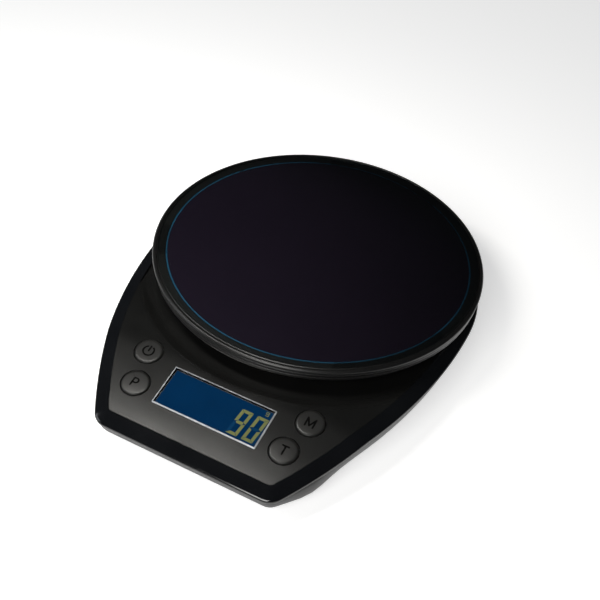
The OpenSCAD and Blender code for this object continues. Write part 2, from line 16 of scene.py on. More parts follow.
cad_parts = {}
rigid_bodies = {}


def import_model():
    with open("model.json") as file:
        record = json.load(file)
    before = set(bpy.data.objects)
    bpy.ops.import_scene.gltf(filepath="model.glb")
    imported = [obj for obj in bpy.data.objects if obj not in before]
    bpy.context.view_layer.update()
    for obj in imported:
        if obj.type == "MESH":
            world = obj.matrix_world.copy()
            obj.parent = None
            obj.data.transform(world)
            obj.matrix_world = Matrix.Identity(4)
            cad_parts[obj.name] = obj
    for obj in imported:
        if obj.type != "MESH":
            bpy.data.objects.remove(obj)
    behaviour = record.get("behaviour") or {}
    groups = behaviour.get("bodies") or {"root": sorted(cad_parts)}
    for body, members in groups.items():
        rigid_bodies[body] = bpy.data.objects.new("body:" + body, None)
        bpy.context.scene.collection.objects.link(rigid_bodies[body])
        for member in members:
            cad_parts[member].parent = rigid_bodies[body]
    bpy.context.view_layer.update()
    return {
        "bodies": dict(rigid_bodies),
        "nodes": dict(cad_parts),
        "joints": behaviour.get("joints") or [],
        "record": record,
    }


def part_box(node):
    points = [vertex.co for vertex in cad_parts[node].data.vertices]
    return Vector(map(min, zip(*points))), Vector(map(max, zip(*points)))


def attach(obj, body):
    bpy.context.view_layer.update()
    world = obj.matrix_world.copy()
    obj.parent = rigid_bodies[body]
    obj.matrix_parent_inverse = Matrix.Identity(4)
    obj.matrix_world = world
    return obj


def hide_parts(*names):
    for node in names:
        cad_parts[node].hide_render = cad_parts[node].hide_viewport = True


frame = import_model()
MM = 0.001

# %% [markdown]
# ## Read the driving sizes from the model
# Two frames of reference carry the whole design. The platform turns about an upright axis, so its middle
# is the middle of the tray's box. The display and the keys stand square to the sloping deck, whose tilt
# is the tilt of a key's travel. Everything below is measured from those two.

# %% The platform's axis and the deck's slope
tray_low, tray_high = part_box("platform_tray")
hub = Vector(((tray_low.x + tray_high.x) / 2, (tray_low.y + tray_high.y) / 2, 0))
platform_top = tray_high.z
joint_named = {j["name"]: j for j in frame["joints"]}
press = Vector(joint_named["press_power"]["axis"])
deck_tilt = math.asin(press.y)
deck_normal = -press.normalized()

glass_low, glass_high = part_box("display_glass")
GLASS_DEPTH = 2.05 * MM  # the middle of the display glass lies this far under the deck
deck_origin = (glass_low + glass_high) / 2 + deck_normal * GLASS_DEPTH
deck_frame = Matrix.Translation(deck_origin) @ Matrix.Rotation(deck_tilt, 4, "X")
print("hub", tuple(round(v, 5) for v in hub), "tilt", round(math.degrees(deck_tilt), 2))

# %% The body's outline
band_low, band_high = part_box("upper_case")
BACK_R = (band_high.x - band_low.x) / 2
FRONT_REACH = hub.y - band_low.y
SIDE_R = 235 * MM
CORNER_R = 9 * MM
DECK_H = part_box("deck_panel")[1].z
FOLD_REACH = 86 * MM
FOLD_BLEND = 4 * MM
BAND_W = 6.3 * MM
PANEL_T = 2.6 * MM


def outline(inset, fine=3):
    """Points round the body, drawn in by inset, as x and y measured from the platform's axis."""
    corner = max(CORNER_R - inset, 0.6 * MM)
    cy = -(FRONT_REACH - inset - corner)
    side_x = SIDE_R - BACK_R
    cx = math.sqrt((SIDE_R - inset - corner) ** 2 - cy**2) - side_x
    turn = math.atan2(cy, cx + side_x)

    def arc(x, y, r, start, end, steps, first):
        turns = [start + (end - start) * i / steps for i in range(first, steps + 1)]
        return [(x + r * math.cos(t), y + r * math.sin(t)) for t in turns]

    half = arc(cx, cy, corner, -math.pi / 2, turn, 5 * fine, 0)
    half += arc(-side_x, 0, SIDE_R - inset, turn, 0, 14 * fine, 1)
    half += arc(0, 0, BACK_R - inset, 0, math.pi / 2, 16 * fine, 1)
    return np.array(half + [(-x, y) for x, y in reversed(half[:-1])])


def deck_z(y):
    """Height of the deck: level at the back, and sloping down to the front past a soft fold."""
    run = -FOLD_REACH + FOLD_BLEND - np.asarray(y, float)
    blend = math.tan(deck_tilt) * np.clip(run, 0, None) ** 2 / (4 * FOLD_BLEND)
    slope = math.tan(deck_tilt) * (run - FOLD_BLEND)
    return DECK_H - np.where(run < 2 * FOLD_BLEND, blend, slope)


print("outline points:", len(outline(0)), "deck at the front:", float(deck_z(-FRONT_REACH)))

# %% [markdown]
# ## Shader maths as plain sums
# A material here is written like a formula. A small class wraps one socket, and adding or multiplying
# two of them adds the Math node that does it. A second class makes every other node in one place, so
# each material below reads from top to bottom.


# %% Sockets that add and multiply
class Value:
    """A number or colour on its way through a material."""

    def __init__(self, maker, socket):
        self.maker = maker
        self.socket = socket

    def _math(self, kind, first, second=0.0, clamp=False):
        settings = {"operation": kind, "use_clamp": clamp}
        node = self.maker.node("ShaderNodeMath", settings, {0: first, 1: second})
        return Value(self.maker, node.outputs[0])

    def __add__(self, other):
        return self._math("ADD", self, other)

    def __sub__(self, other):
        return self._math("SUBTRACT", self, other)

    def __rsub__(self, other):
        return self._math("SUBTRACT", other, self)

    def __mul__(self, other):
        return self._math("MULTIPLY", self, other)

    __radd__ = __add__
    __rmul__ = __mul__

    def above(self, edge):
        return self._math("GREATER_THAN", self, edge)

    def clamped(self):
        return self._math("ADD", self, 0.0, clamp=True)


class Maker:
    def __init__(self, name):
        self.material = bpy.data.materials.new(name)
        self.material.use_nodes = True
        self.tree = self.material.node_tree
        self.tree.nodes.clear()
        self.place = None

    def node(self, kind, settings=None, inputs=None):
        node = self.tree.nodes.new(kind)
        for key, value in (settings or {}).items():
            setattr(node, key, value)
        for key, value in (inputs or {}).items():
            if isinstance(value, Value):
                self.tree.links.new(value.socket, node.inputs[key])
            else:
                node.inputs[key].default_value = value
        return node

    def value(self, kind, settings=None, inputs=None, out=0):
        return Value(self, self.node(kind, settings, inputs).outputs[out])

    def position(self):
        if self.place is None:
            self.place = self.value("ShaderNodeTexCoord", out="Object")
        return self.place

    def noise(self, size, detail=2.0, rough=0.5):
        """Soft noise whose blotches are about size metres across."""
        inputs = {"Vector": self.position(), "Scale": 1 / size, "Detail": detail, "Roughness": rough}
        return self.value("ShaderNodeTexNoise", {}, inputs)

    def mix(self, share, first, second):
        """A colour between two colours. The Mix node's colour sockets are its inputs 6 and 7."""
        ends = [c if isinstance(c, Value) else (*c, 1) for c in (first, second)]
        inputs = {0: share, 6: ends[0], 7: ends[1]}
        return self.value("ShaderNodeMix", {"data_type": "RGBA"}, inputs, out=2)

    def specks(self, spacing, size, share):
        """1 on scattered dots: one cell in some keeps its dot."""
        inputs = {"Vector": self.position(), "Scale": 1 / spacing}
        cells = self.node("ShaderNodeTexVoronoi", {}, inputs)
        near = 1 - Value(self, cells.outputs["Distance"]).above(size / spacing)
        colour = {"Color": Value(self, cells.outputs["Color"])}
        chance = self.value("ShaderNodeSeparateColor", {}, colour)
        return near * chance.above(1 - share)

    def bump(self, height, depth, strength=1.0):
        inputs = {"Height": height, "Distance": depth, "Strength": strength}
        return self.value("ShaderNodeBump", {}, inputs)

    def surface(self, inputs):
        return self.value("ShaderNodeBsdfPrincipled", {}, inputs)

    def finish(self, shader):
        self.node("ShaderNodeOutputMaterial", {}, {"Surface": shader})
        return self.material


# %% [markdown]
# ## Moulded plastics
# Nearly the whole scale is moulded ABS. A mould that was spark-eroded leaves a fine grain, which spreads
# the shine of a lamp into a soft sheen; a polished mould leaves a mirror with a faint waviness. Both are
# one function here: the grain's size and depth, the roughness and the strength of the shine are what
# differ.


# %% One function for every moulded part
DUST = (0.22, 0.21, 0.19)
DUST_SPACING = 5 * MM
DUST_SIZE = 0.16 * MM
CLOUD_SIZE = 24 * MM


def moulded(
    name, colour, rough, grain=0.25 * MM, depth=0.012 * MM, coat=0.0, spread=0.05, dust=0.0, shine=0.5
):
    """Plastic with a fine grain and an uneven shine. dust is the share of places that hold a speck."""
    m = Maker(name)
    cloud = m.noise(CLOUD_SIZE, 3)
    fine = m.noise(grain, 3, 0.6)
    lighter = tuple(c * 1.18 + 0.002 for c in colour)
    base = m.mix((cloud * 1.6 - 0.3).clamped(), colour, lighter)
    if dust:
        base = m.mix(m.specks(DUST_SPACING, DUST_SIZE, dust), base, DUST)
    inputs = {
        "Base Color": base,
        "Roughness": (rough - spread / 2 + cloud * spread + fine * 0.03).clamped(),
        "Normal": m.bump(fine, depth),
        "Specular IOR Level": shine,
        "Coat Weight": coat,
        "Coat Roughness": 0.06,
    }
    return m.finish(m.surface(inputs))


satin_black = moulded("satin_black", (0.0042, 0.0042, 0.0040), 0.205, depth=0.003 * MM, dust=0.12)
lower_black = moulded("lower_black", (0.016, 0.016, 0.0165), 0.42, grain=0.4 * MM, depth=0.02 * MM)
rim_black = moulded("rim_black", (0.004, 0.004, 0.004), 0.30, depth=0.004 * MM, shine=0.35)
gloss_black = moulded("gloss_black", (0.0022, 0.0025, 0.0032), 0.10, 3 * MM, 0.004 * MM, 0.1, 0.03)
key_grey = moulded("key_grey", (0.0085, 0.0085, 0.0082), 0.33, dust=0.1, shine=0.22)
ink_dark = moulded("legend_dark", (0.0015, 0.0015, 0.0015), 0.8, shine=0.0)
switch_black = moulded("switch_black", (0.018, 0.018, 0.018), 0.45)
nylon_white = moulded("nylon_white", (0.62, 0.61, 0.57), 0.45)
holder_white = moulded("holder_white", (0.68, 0.68, 0.65), 0.4)
print("plastics made:", len(bpy.data.materials))

# %% [markdown]
# ## Rubber, foam, metals and the board
# These parts are inside or underneath. Rubber and foam are rough and show a coarse pore; turned and
# rolled metal shows fine lines along one direction, which stretched noise draws; the circuit board has
# copper tracks that show through its green lacquer.


# %% Soft and metal finishes
def porous(name, colour, rough, pore, depth):
    m = Maker(name)
    holes = m.noise(pore, 4, 0.7)
    base = m.mix(holes, tuple(c * 0.7 for c in colour), tuple(min(1, c * 1.25) for c in colour))
    inputs = {"Base Color": base, "Roughness": rough, "Normal": m.bump(holes, depth)}
    return m.finish(m.surface(inputs))


def metal(name, colour, rough, stretch=(1, 14, 14), line=0.5 * MM):
    """Metal with fine lines along the axis that stretch leaves short."""
    m = Maker(name)
    settings = {"vector_type": "TEXTURE"}
    mapped = {"Vector": m.position(), "Scale": [1 / s for s in stretch]}
    scaled = m.value("ShaderNodeMapping", settings, mapped)
    lines = m.value("ShaderNodeTexNoise", {}, {"Vector": scaled, "Scale": 0.1 / line, "Detail": 3.0})
    base = m.mix(lines, tuple(c * 0.82 for c in colour), colour)
    inputs = {
        "Base Color": base,
        "Metallic": 1.0,
        "Roughness": (rough + lines * 0.16).clamped(),
        "Normal": m.bump(lines, 0.01 * MM),
    }
    return m.finish(m.surface(inputs))


rubber_black = porous("rubber_black", (0.022, 0.022, 0.022), 0.78, 0.35 * MM, 0.03 * MM)
foam_grey = porous("foam_grey", (0.06, 0.06, 0.065), 0.9, 0.5 * MM, 0.1 * MM)
silicone_white = porous("silicone_white", (0.7, 0.7, 0.66), 0.5, 0.8 * MM, 0.02 * MM)
contact_pink = porous("contact_pink", (0.55, 0.25, 0.28), 0.6, 0.4 * MM, 0.02 * MM)
zinc = metal("zinc_steel", (0.62, 0.63, 0.66), 0.28)
nickel = metal("nickel_plate", (0.68, 0.66, 0.60), 0.22, (14, 1, 14))
aluminium = metal("milled_aluminium", (0.80, 0.81, 0.82), 0.30, (14, 1, 14), 0.3 * MM)


def circuit_board():
    m = Maker("circuit_board")
    pattern = {"Vector": m.position(), "Scale": 1 / (3.2 * MM)}
    cells = m.value("ShaderNodeTexVoronoi", {"distance": "CHEBYCHEV"}, pattern)
    tracks = (cells.above(0.28) - cells.above(0.34)).clamped()
    base = m.mix(tracks, (0.010, 0.10, 0.035), (0.03, 0.22, 0.08))
    inputs = {
        "Base Color": base,
        "Roughness": (0.28 + m.noise(6 * MM) * 0.08).clamped(),
        "Normal": m.bump(tracks, 0.03 * MM),
    }
    return m.finish(m.surface(inputs))


def ceramic(name, colour):
    m = Maker(name)
    grains = m.noise(0.3 * MM, 2)
    base = m.mix(grains, colour, tuple(c * 1.3 for c in colour))
    return m.finish(m.surface({"Base Color": base, "Roughness": 0.4, "Normal": m.bump(grains, 0.01 * MM)}))


board_green = circuit_board()
epoxy_black = moulded("epoxy_black", (0.012, 0.012, 0.012), 0.2, 1.5 * MM, 0.03 * MM)
ceramic_tan = ceramic("ceramic_tan", (0.30, 0.21, 0.11))
lead_red = moulded("lead_red", (0.42, 0.02, 0.015), 0.35)
lead_green = moulded("lead_green", (0.03, 0.22, 0.07), 0.35)

# %% [markdown]
# ## Glass, prints and the solar film
# The platform's glass is thin, clear and flat, so all the eye gets from it is a mirror that grows
# towards grazing angles, over whatever lies beneath. A mix of a clear and a mirror surface by Fresnel
# gives just that, and lets light reach the film without a noisy bend. The prints and the film lie under
# it: a black border, a thin blue ring, and a dark purple film.


# %% Clear parts
def clear_pane(name, tint, rough, ior=1.5):
    m = Maker(name)
    smear = m.noise(30 * MM, 4)
    through = m.value("ShaderNodeBsdfTransparent", {}, {"Color": (*tint, 1)})
    shine = (rough + smear * 0.04).clamped()
    mirror = m.surface({"Base Color": (1, 1, 1, 1), "Metallic": 1.0, "Roughness": shine})
    fresnel = m.value("ShaderNodeFresnel", {}, {"IOR": ior})
    mixed = m.node("ShaderNodeMixShader", {}, {0: fresnel, 1: through, 2: mirror})
    return m.finish(Value(m, mixed.outputs[0]))


glass_pane = clear_pane("glass_pane", (0.93, 0.96, 0.95), 0.03)
pane_under = clear_pane("pane_under", (0.97, 0.98, 0.98), 0.1, 1.02)
lens_pane = clear_pane("lens_pane", (0.97, 0.98, 1.0), 0.02, 1.32)


def ink(name, colour, rough=0.35):
    m = Maker(name)
    speck = m.noise(0.6 * MM, 3)
    base = m.mix(speck, tuple(c * 0.85 for c in colour), colour)
    inputs = {"Base Color": base, "Roughness": rough, "Normal": m.bump(speck, 0.004 * MM)}
    return m.finish(m.surface(inputs))


border_ink = ink("border_ink", (0.006, 0.006, 0.006))
ring_ink = ink("ring_ink", (0.0075, 0.07, 0.135))


def solar_film():
    """Dark purple film: a soft cloudy tint, with a faint grain from the coating."""
    m = Maker("solar_film")
    cloud = m.noise(45 * MM, 3)
    grain = m.noise(0.5 * MM, 2)
    base = m.mix(cloud, (0.0085, 0.0051, 0.0115), (0.0115, 0.0070, 0.0150))
    inputs = {
        "Base Color": base,
        "Roughness": (0.30 + grain * 0.1).clamped(),
        "Specular IOR Level": 0.15,
        "Normal": m.bump(grain, 0.005 * MM),
    }
    return m.finish(m.surface(inputs))


film_purple = solar_film()

# %% [markdown]
# ## Mesh helpers
# Three ways of making a shape cover the scale. A loft joins rings of points, for the body's shells. A
# lathe spins a section about an upright axis, for everything round. A cutter takes a shape away, as a
# mould's core does. Each result is one closed mesh in the model's own place.


# %% Loft, lathe and boolean cut
TINY = 1e-9  # a ring on the axis keeps this radius until its doubles are merged
MERGE = 1e-7


def add_object(name, mesh):
    made = bpy.data.objects.new(name, mesh)
    bpy.context.scene.collection.objects.link(made)
    return made


def smooth(piece, angle=32):
    """Shades a piece smoothly, apart from edges sharper than angle."""
    piece.data.polygons.foreach_set("use_smooth", [True] * len(piece.data.polygons))
    piece.data.set_sharp_from_angle(angle=math.radians(angle))
    piece.data.update()
    return piece


def loft(name, rings, closed=False, caps=()):
    """Joins rings of points, each an array of x, y, z. caps names the rings that get a flat end."""
    count = len(rings[0])
    pairs = [(k, (k + 1) % len(rings)) for k in range(len(rings) if closed else len(rings) - 1)]
    faces = []
    for k, m in pairs:
        for i in range(count):
            j = (i + 1) % count
            faces.append((k * count + i, k * count + j, m * count + j, m * count + i))
    for k in caps:
        faces.append([k * count + i for i in range(count)])
    mesh = bpy.data.meshes.new(name)
    mesh.from_pydata(np.concatenate(rings).tolist(), [], faces)
    made = add_object(name, mesh)
    outward(made)
    return made


def outward(piece):
    """Merges doubles and turns every face outwards."""
    work = bmesh.new()
    work.from_mesh(piece.data)
    bmesh.ops.remove_doubles(work, verts=work.verts, dist=MERGE)
    bmesh.ops.recalc_face_normals(work, faces=work.faces)
    work.to_mesh(piece.data)
    work.free()
    return piece


def lathe(name, section, centre=hub, steps=256):
    """Spins a section of (radius, height) points about an upright line. Radius 0 closes the middle."""
    turns = np.arange(steps) * 2 * math.pi / steps
    rings = []
    for radius, z in section:
        r = max(radius, TINY)
        x, y = centre.x + r * np.cos(turns), centre.y + r * np.sin(turns)
        rings.append(np.stack([x, y, np.full(steps, z)], 1))
    return loft(name, rings, closed=section[0][0] > 0)


def rounded(section, radius, steps=4):
    """Rounds every inner point of a section that is listed with True."""
    points = []
    for k, entry in enumerate(section):
        here = Vector(entry[:2])
        if len(entry) < 3 or not entry[2] or k in (0, len(section) - 1):
            points.append(tuple(here))
            continue
        before = (Vector(section[k - 1][:2]) - here).normalized()
        after = (Vector(section[k + 1][:2]) - here).normalized()
        size = radius * (entry[2] if entry[2] is not True else 1)
        for i in range(steps + 1):
            t = i / steps
            a, b = here + before * size, here + after * size
            points.append(tuple(a * (1 - t) ** 2 + here * 2 * t * (1 - t) + b * t**2))
    return points


def cut(piece, cutter, keep=False):
    """Takes the cutter's shape out of the piece, or keeps only what they share, and removes the cutter."""
    tool = piece.modifiers.new("cut", "BOOLEAN")
    tool.object = cutter
    tool.operation = "INTERSECT" if keep else "DIFFERENCE"
    tool.solver = "EXACT"
    tool.material_mode = "TRANSFER"
    bake(piece)
    bpy.data.objects.remove(cutter)
    return piece


def bake(piece):
    """Turns a piece and its modifiers into a plain mesh."""
    bpy.context.view_layer.update()
    done = piece.evaluated_get(bpy.context.evaluated_depsgraph_get())
    mesh = bpy.data.meshes.new_from_object(done)
    piece.modifiers.clear()
    piece.data = mesh
    return piece


def place(piece, matrix):
    piece.data.transform(matrix)
    return piece


def joined(name, pieces):
    """Joins pieces into one, and removes the single ones."""
    work = bmesh.new()
    for piece in pieces:
        work.from_mesh(piece.data)
        bpy.data.objects.remove(piece)
    mesh = bpy.data.meshes.new(name)
    work.to_mesh(mesh)
    work.free()
    return add_object(name, mesh)


def dress(piece, material, body, replaced=()):
    """Gives a finished piece its material and body, and hides the imported parts that it replaces."""
    if material:
        piece.data.materials.clear()
        piece.data.materials.append(material)
    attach(piece, body)
    if replaced:
        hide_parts(*replaced)
    return piece


# %% [markdown]
# ## The glossy band
# The upper case is a ring that shows as a polished band round the deck. Its section is a straight slope
# that turns down at the lip, and the same section runs the whole way round while following the deck's
# fold. A loft of insets of one outline keeps the band's width true in the corners too.


# %% Loft the band
def level(inset, drop):
    points = outline(inset)
    return np.column_stack([points[:, 0], points[:, 1] + hub.y, deck_z(points[:, 1]) - drop])


BAND_SECTION = [
    (BAND_W, 2.65 * MM), (BAND_W, 0.04 * MM), (3.6 * MM, 0.92 * MM), (0.95 * MM, 1.80 * MM),
    (0.6 * MM, 1.96 * MM), (0.33 * MM, 2.15 * MM), (0.14 * MM, 2.4 * MM), (0.03 * MM, 2.7 * MM),
    (0.0, 3.0 * MM), (0.06 * MM, 3.25 * MM), (0.25 * MM, 3.35 * MM), (3.8 * MM, 3.35 * MM),
    (3.8 * MM, 5.4 * MM), (4.7 * MM, 5.4 * MM), (4.7 * MM, 4.5 * MM), (9.2 * MM, 4.5 * MM),
    (9.2 * MM, 2.65 * MM),
]
band = loft("glossy_band", [level(*p) for p in BAND_SECTION], closed=True)
smooth(band, 40)
dress(band, gloss_black, "base", ["upper_case"])
print("band faces:", len(band.data.polygons))

# %% [markdown]
# ## The deck panel
# The panel is a soft landscape: level, then folded down to the front, with a shallow round well under
# the platform. A grid whose height is a formula gives that surface without a crease. The outline, the
# display window and the key holes are then cut from it with cutters that flare at the top, as a moulded
# edge does.

# %% The panel's surface as a height field
WELL_R = 84 * MM
WELL_DEPTH = 1.5 * MM
WELL_SHOULDER = 6 * MM
GRID = 1.3 * MM


def panel_height(x, y):
    """Deck height with the round well sunk into it."""
    radius = np.hypot(x, y)
    rise = np.clip((radius - WELL_R) / WELL_SHOULDER, 0, 1)
    well = DECK_H - WELL_DEPTH * (1 + np.cos(math.pi * rise)) / 2
    return np.minimum(deck_z(y), well)


def slab(name):
    """A block with the panel's surface on top and the same surface, lowered, underneath."""
    xs = np.arange(-BACK_R - 3 * MM, BACK_R + 3 * MM, GRID)
    ys = np.arange(-FRONT_REACH - 3 * MM, BACK_R + 3 * MM, GRID)
    gx, gy = np.meshgrid(xs, ys, indexing="ij")
    top = panel_height(gx, gy)
    under = np.minimum(deck_z(gy), DECK_H) - PANEL_T
    n, m = gx.shape
    upper = np.stack([gx, gy + hub.y, top], -1).reshape(-1, 3)
    lower = np.stack([gx, gy + hub.y, under], -1).reshape(-1, 3)
    faces = []
    for i in range(n - 1):
        for j in range(m - 1):
            a, b, c, d = i * m + j, (i + 1) * m + j, (i + 1) * m + j + 1, i * m + j + 1
            faces += [(a, b, c, d), (a + n * m, d + n * m, c + n * m, b + n * m)]
    rim = [i * m for i in range(n)] + [(n - 1) * m + j for j in range(1, m)]
    rim += [i * m + m - 1 for i in range(n - 2, -1, -1)] + [j for j in range(m - 2, 0, -1)]
    for a, b in zip(rim, rim[1:] + rim[:1]):
        faces.append((b, a, a + n * m, b + n * m))
    mesh = bpy.data.meshes.new(name)
    mesh.from_pydata(np.concatenate([upper, lower]).tolist(), [], faces)
    return add_object(name, mesh)


def prism(name, points, low, high, flare=0.0, flare_h=0.0):
    """An upright prism over an outline; the top can flare out, to leave a small chamfer."""
    points = np.asarray(points, float)
    rings = [np.column_stack([points, np.full(len(points), low)])]
    if flare:
        centre = points.mean(0)
        out = points - centre
        wide = centre + out * (1 + flare / np.abs(out).max(0))
        rings.append(np.column_stack([points, np.full(len(points), -flare_h)]))
        rings.append(np.column_stack([wide, np.full(len(points), flare_h)]))
        rings.append(np.column_stack([wide, np.full(len(points), high)]))
    else:
        rings.append(np.column_stack([points, np.full(len(points), high)]))
    return loft(name, rings, caps=(0, len(rings) - 1))


def circle(radius, steps=96, centre=(0, 0)):
    turns = np.arange(steps) * 2 * math.pi / steps
    return np.column_stack([centre[0] + radius * np.cos(turns), centre[1] + radius * np.sin(turns)])


def soft_rectangle(width, depth, corner, steps=6):
    """Four arcs joined by straight sides."""
    points = []
    for k, (sx, sy) in enumerate([(1, 1), (-1, 1), (-1, -1), (1, -1)]):
        for i in range(steps + 1):
            t = math.pi / 2 * (k + i / steps)
            x = sx * (width / 2 - corner) + corner * math.cos(t)
            points.append((x, sy * (depth / 2 - corner) + corner * math.sin(t)))
    return np.array(points)


# %% Cut the panel's outline and openings
LENS_W = 51.4 * MM
LENS_D = 20.8 * MM
LENS_PROUD = 0.35 * MM
LENS_T = 1.2 * MM
LENS_LEDGE = 0.6 * MM
BUTTON_R = 6.55 * MM
BUTTON_GAP = 0.3 * MM
GAP = 0.15 * MM
HUB_HOLE_R = 15.5 * MM
LEAD_HOLE = (0.0, -40 * MM, 3 * MM)
FLARE = 0.22 * MM
TALL = 60 * MM  # an upright cutter that is higher than the whole body
THROUGH = 6 * MM  # a cutter on the slope reaches this far up and down
KEYS = {
    "power": (-41.06 * MM, 11.69 * MM), "mode": (41.06 * MM, 11.69 * MM),
    "count": (-37.07 * MM, -5.43 * MM), "tare": (37.07 * MM, -5.43 * MM),
}

panel = slab("deck_skin")
rim = outline(BAND_W + GAP / 2)
cut(panel, prism("rim", np.column_stack([rim[:, 0], rim[:, 1] + hub.y]), 0, TALL), keep=True)
cut(panel, prism("hub_hole", circle(HUB_HOLE_R, centre=(hub.x, hub.y)), 0, TALL))
lead_at = (hub.x + LEAD_HOLE[0], hub.y + LEAD_HOLE[1])
cut(panel, prism("lead_hole", circle(LEAD_HOLE[2], 48, lead_at), 0, TALL))
pocket = soft_rectangle(LENS_W + 2 * GAP, LENS_D + 2 * GAP, 0.8 * MM)
window = soft_rectangle(LENS_W - 2 * LENS_LEDGE, LENS_D - 2 * LENS_LEDGE, 0.5 * MM)
shapes = [prism("pocket", pocket, LENS_PROUD - LENS_T, THROUGH), prism("window", window, -THROUGH, THROUGH)]
for x, y in KEYS.values():
    ring = circle(BUTTON_R + BUTTON_GAP, centre=(x, y))
    shapes.append(prism("key_hole", ring, -THROUGH, THROUGH, FLARE, FLARE / 2))
for shape in shapes:
    cut(panel, place(shape, deck_frame))
smooth(panel, 30)
dress(panel, satin_black, "base", ["deck_panel"])
print("panel faces:", len(panel.data.polygons))

# %% [markdown]
# ## The lower case
# The lower case keeps its shape from the model, with its screw wells, foot wells and battery opening.
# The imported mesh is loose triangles, so a copy is merged and shaded smoothly, which gives the hull a
# soft turn. Its level faces are shaded flat, because a wide face beside small ones would show streaks.


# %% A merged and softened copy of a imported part
LEVEL = 0.9995  # the upright part of a level face's normal is at least this


def is_level(face):
    return abs(face.normal.z) > LEVEL


def softened(node, name, angle=35):
    source = frame["nodes"][node]
    made = add_object(name, source.data.copy())
    outward(made)
    return smooth(made, angle)


lower = softened("lower_case", "lower_shell", 40)
for face in lower.data.polygons:
    face.use_smooth = not is_level(face)
dress(lower, lower_black, "base", ["lower_case"])
print("lower case faces:", len(lower.data.polygons))

# %% [markdown]
# ## The platform
# The tray, the glass and the prints are all turned shapes. The tray's wall carries two fine grooves and
# its top edge a small bright bevel; the glass has a ground edge. A lathe with many steps keeps them
# round.

# %% Turn the tray, glass and prints
glass_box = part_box("platform_glass")
GLASS_R = (glass_box[1].x - glass_box[0].x) / 2
TRAY_R = (tray_high.x - tray_low.x) / 2
glass_z = glass_box[0].z
PRINT_T = 0.1 * MM
RIM_H = 6.5 * MM
rim_z = platform_top - RIM_H
film_top = glass_z - PRINT_T
tray_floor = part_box("foam_pad")[0].z
POST_R = 4 * MM
POST_LOW = 28.5 * MM
POST_EDGE = 0.3 * MM
POST_SUNK = 0.5 * MM  # how far a post runs into the tray
ARM_REACH = 58 * MM
arm_turns = [math.radians(angle) for angle in (45, 135, 225, 315)]
arm_ends = [Vector((math.cos(turn), math.sin(turn), 0)) * ARM_REACH for turn in arm_turns]

tray_wall = [
    (0.0, rim_z), (62 * MM, rim_z), (62 * MM, rim_z - 1.6 * MM), (64 * MM, rim_z - 1.6 * MM),
    (64 * MM, rim_z), (TRAY_R - 1.6 * MM, rim_z, True), (TRAY_R - 0.7 * MM, rim_z + 0.5 * MM, True),
    (TRAY_R - 0.45 * MM, rim_z + 2.1 * MM, 0.4), (TRAY_R - 0.75 * MM, rim_z + 2.3 * MM),
    (TRAY_R - 0.3 * MM, rim_z + 2.6 * MM, 0.4), (TRAY_R - 0.15 * MM, rim_z + 4.2 * MM, 0.4),
    (TRAY_R - 0.45 * MM, rim_z + 4.4 * MM), (TRAY_R, rim_z + 4.7 * MM, 0.3),
    (TRAY_R, platform_top - 0.7 * MM, 0.6), (TRAY_R - 0.7 * MM, platform_top, 0.6),
    (GLASS_R + GAP, platform_top, 0.3), (GLASS_R + GAP, tray_floor), (0.0, tray_floor),
]
tray_parts = [lathe("tray_wall", rounded(tray_wall, 0.5 * MM, 3))]
post_high = rim_z + POST_SUNK
post = [(0.0, POST_LOW), (POST_R - POST_EDGE, POST_LOW), (POST_R, POST_LOW + POST_EDGE)]
post += [(POST_R, post_high), (0.0, post_high)]
tray_parts += [lathe("post", post, hub + arm, 48) for arm in arm_ends]
tray = smooth(joined("tray_shell", tray_parts), 28)
dress(tray, rim_black, "platform", ["platform_tray"])

glass_edge = [
    (0.0, glass_z), (GLASS_R - 0.1 * MM, glass_z), (GLASS_R, glass_z + 0.1 * MM),
    (GLASS_R, platform_top - 0.3 * MM, True), (GLASS_R - 0.3 * MM, platform_top, True),
    (0.0, platform_top),
]
pane = lathe("glass_disc", rounded(glass_edge, 0.12 * MM, 3))
smooth(pane, 30)
for finish in (glass_pane, pane_under, border_ink):
    pane.data.materials.append(finish)
for face in pane.data.polygons:
    face.material_index = 2 if not is_level(face) else 0 if face.center.z > glass_z + PRINT_T else 1
dress(pane, None, "platform", ["platform_glass"])
print("tray faces:", len(tray.data.polygons))

# %% [markdown]
# ## Prints and the solar film under the glass
# Three thin layers lie under the glass: the film that makes the power, a black border that hides the
# tray, and a thin blue ring on the line between them. Each is a flat turned disc or ring with a real
# thickness.

# %% Film, border and ring
pad_low, pad_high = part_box("foam_pad")
RING_R = (pad_high.x - pad_low.x) / 2
RING_HALF_W = 0.35 * MM


def flat_ring(name, inner, outer, low, high):
    return lathe(name, [(inner, low), (outer, low), (outer, high), (inner, high)])


border = smooth(flat_ring("border_band", RING_R + RING_HALF_W, GLASS_R - 0.2 * MM, film_top, glass_z))
dress(border, border_ink, "platform", ["border_print"])
blue_ring = smooth(flat_ring("blue_ring", RING_R - RING_HALF_W, RING_R + RING_HALF_W, film_top, glass_z))
dress(blue_ring, ring_ink, "platform", ["ring_print"])

film_radius = GLASS_R - 0.4 * MM
film_section = [(0.0, pad_high.z), (film_radius, pad_high.z), (film_radius, film_top), (0.0, film_top)]
film = smooth(lathe("film_disc", film_section))
dress(film, film_purple, "platform", ["solar_panel"])
print("ring radius:", round(RING_R, 4))

# %% [markdown]
# ## Ribs by rule: the battery door's grip
# The door is opened with a fingertip, on a round patch of ribs. Each rib ends at the circle. That is a
# rule, so a small Geometry Nodes tree makes it: a row of points, a bar on each, and each bar's length
# worked out from its distance to the middle. Another size of grip only needs other inputs.


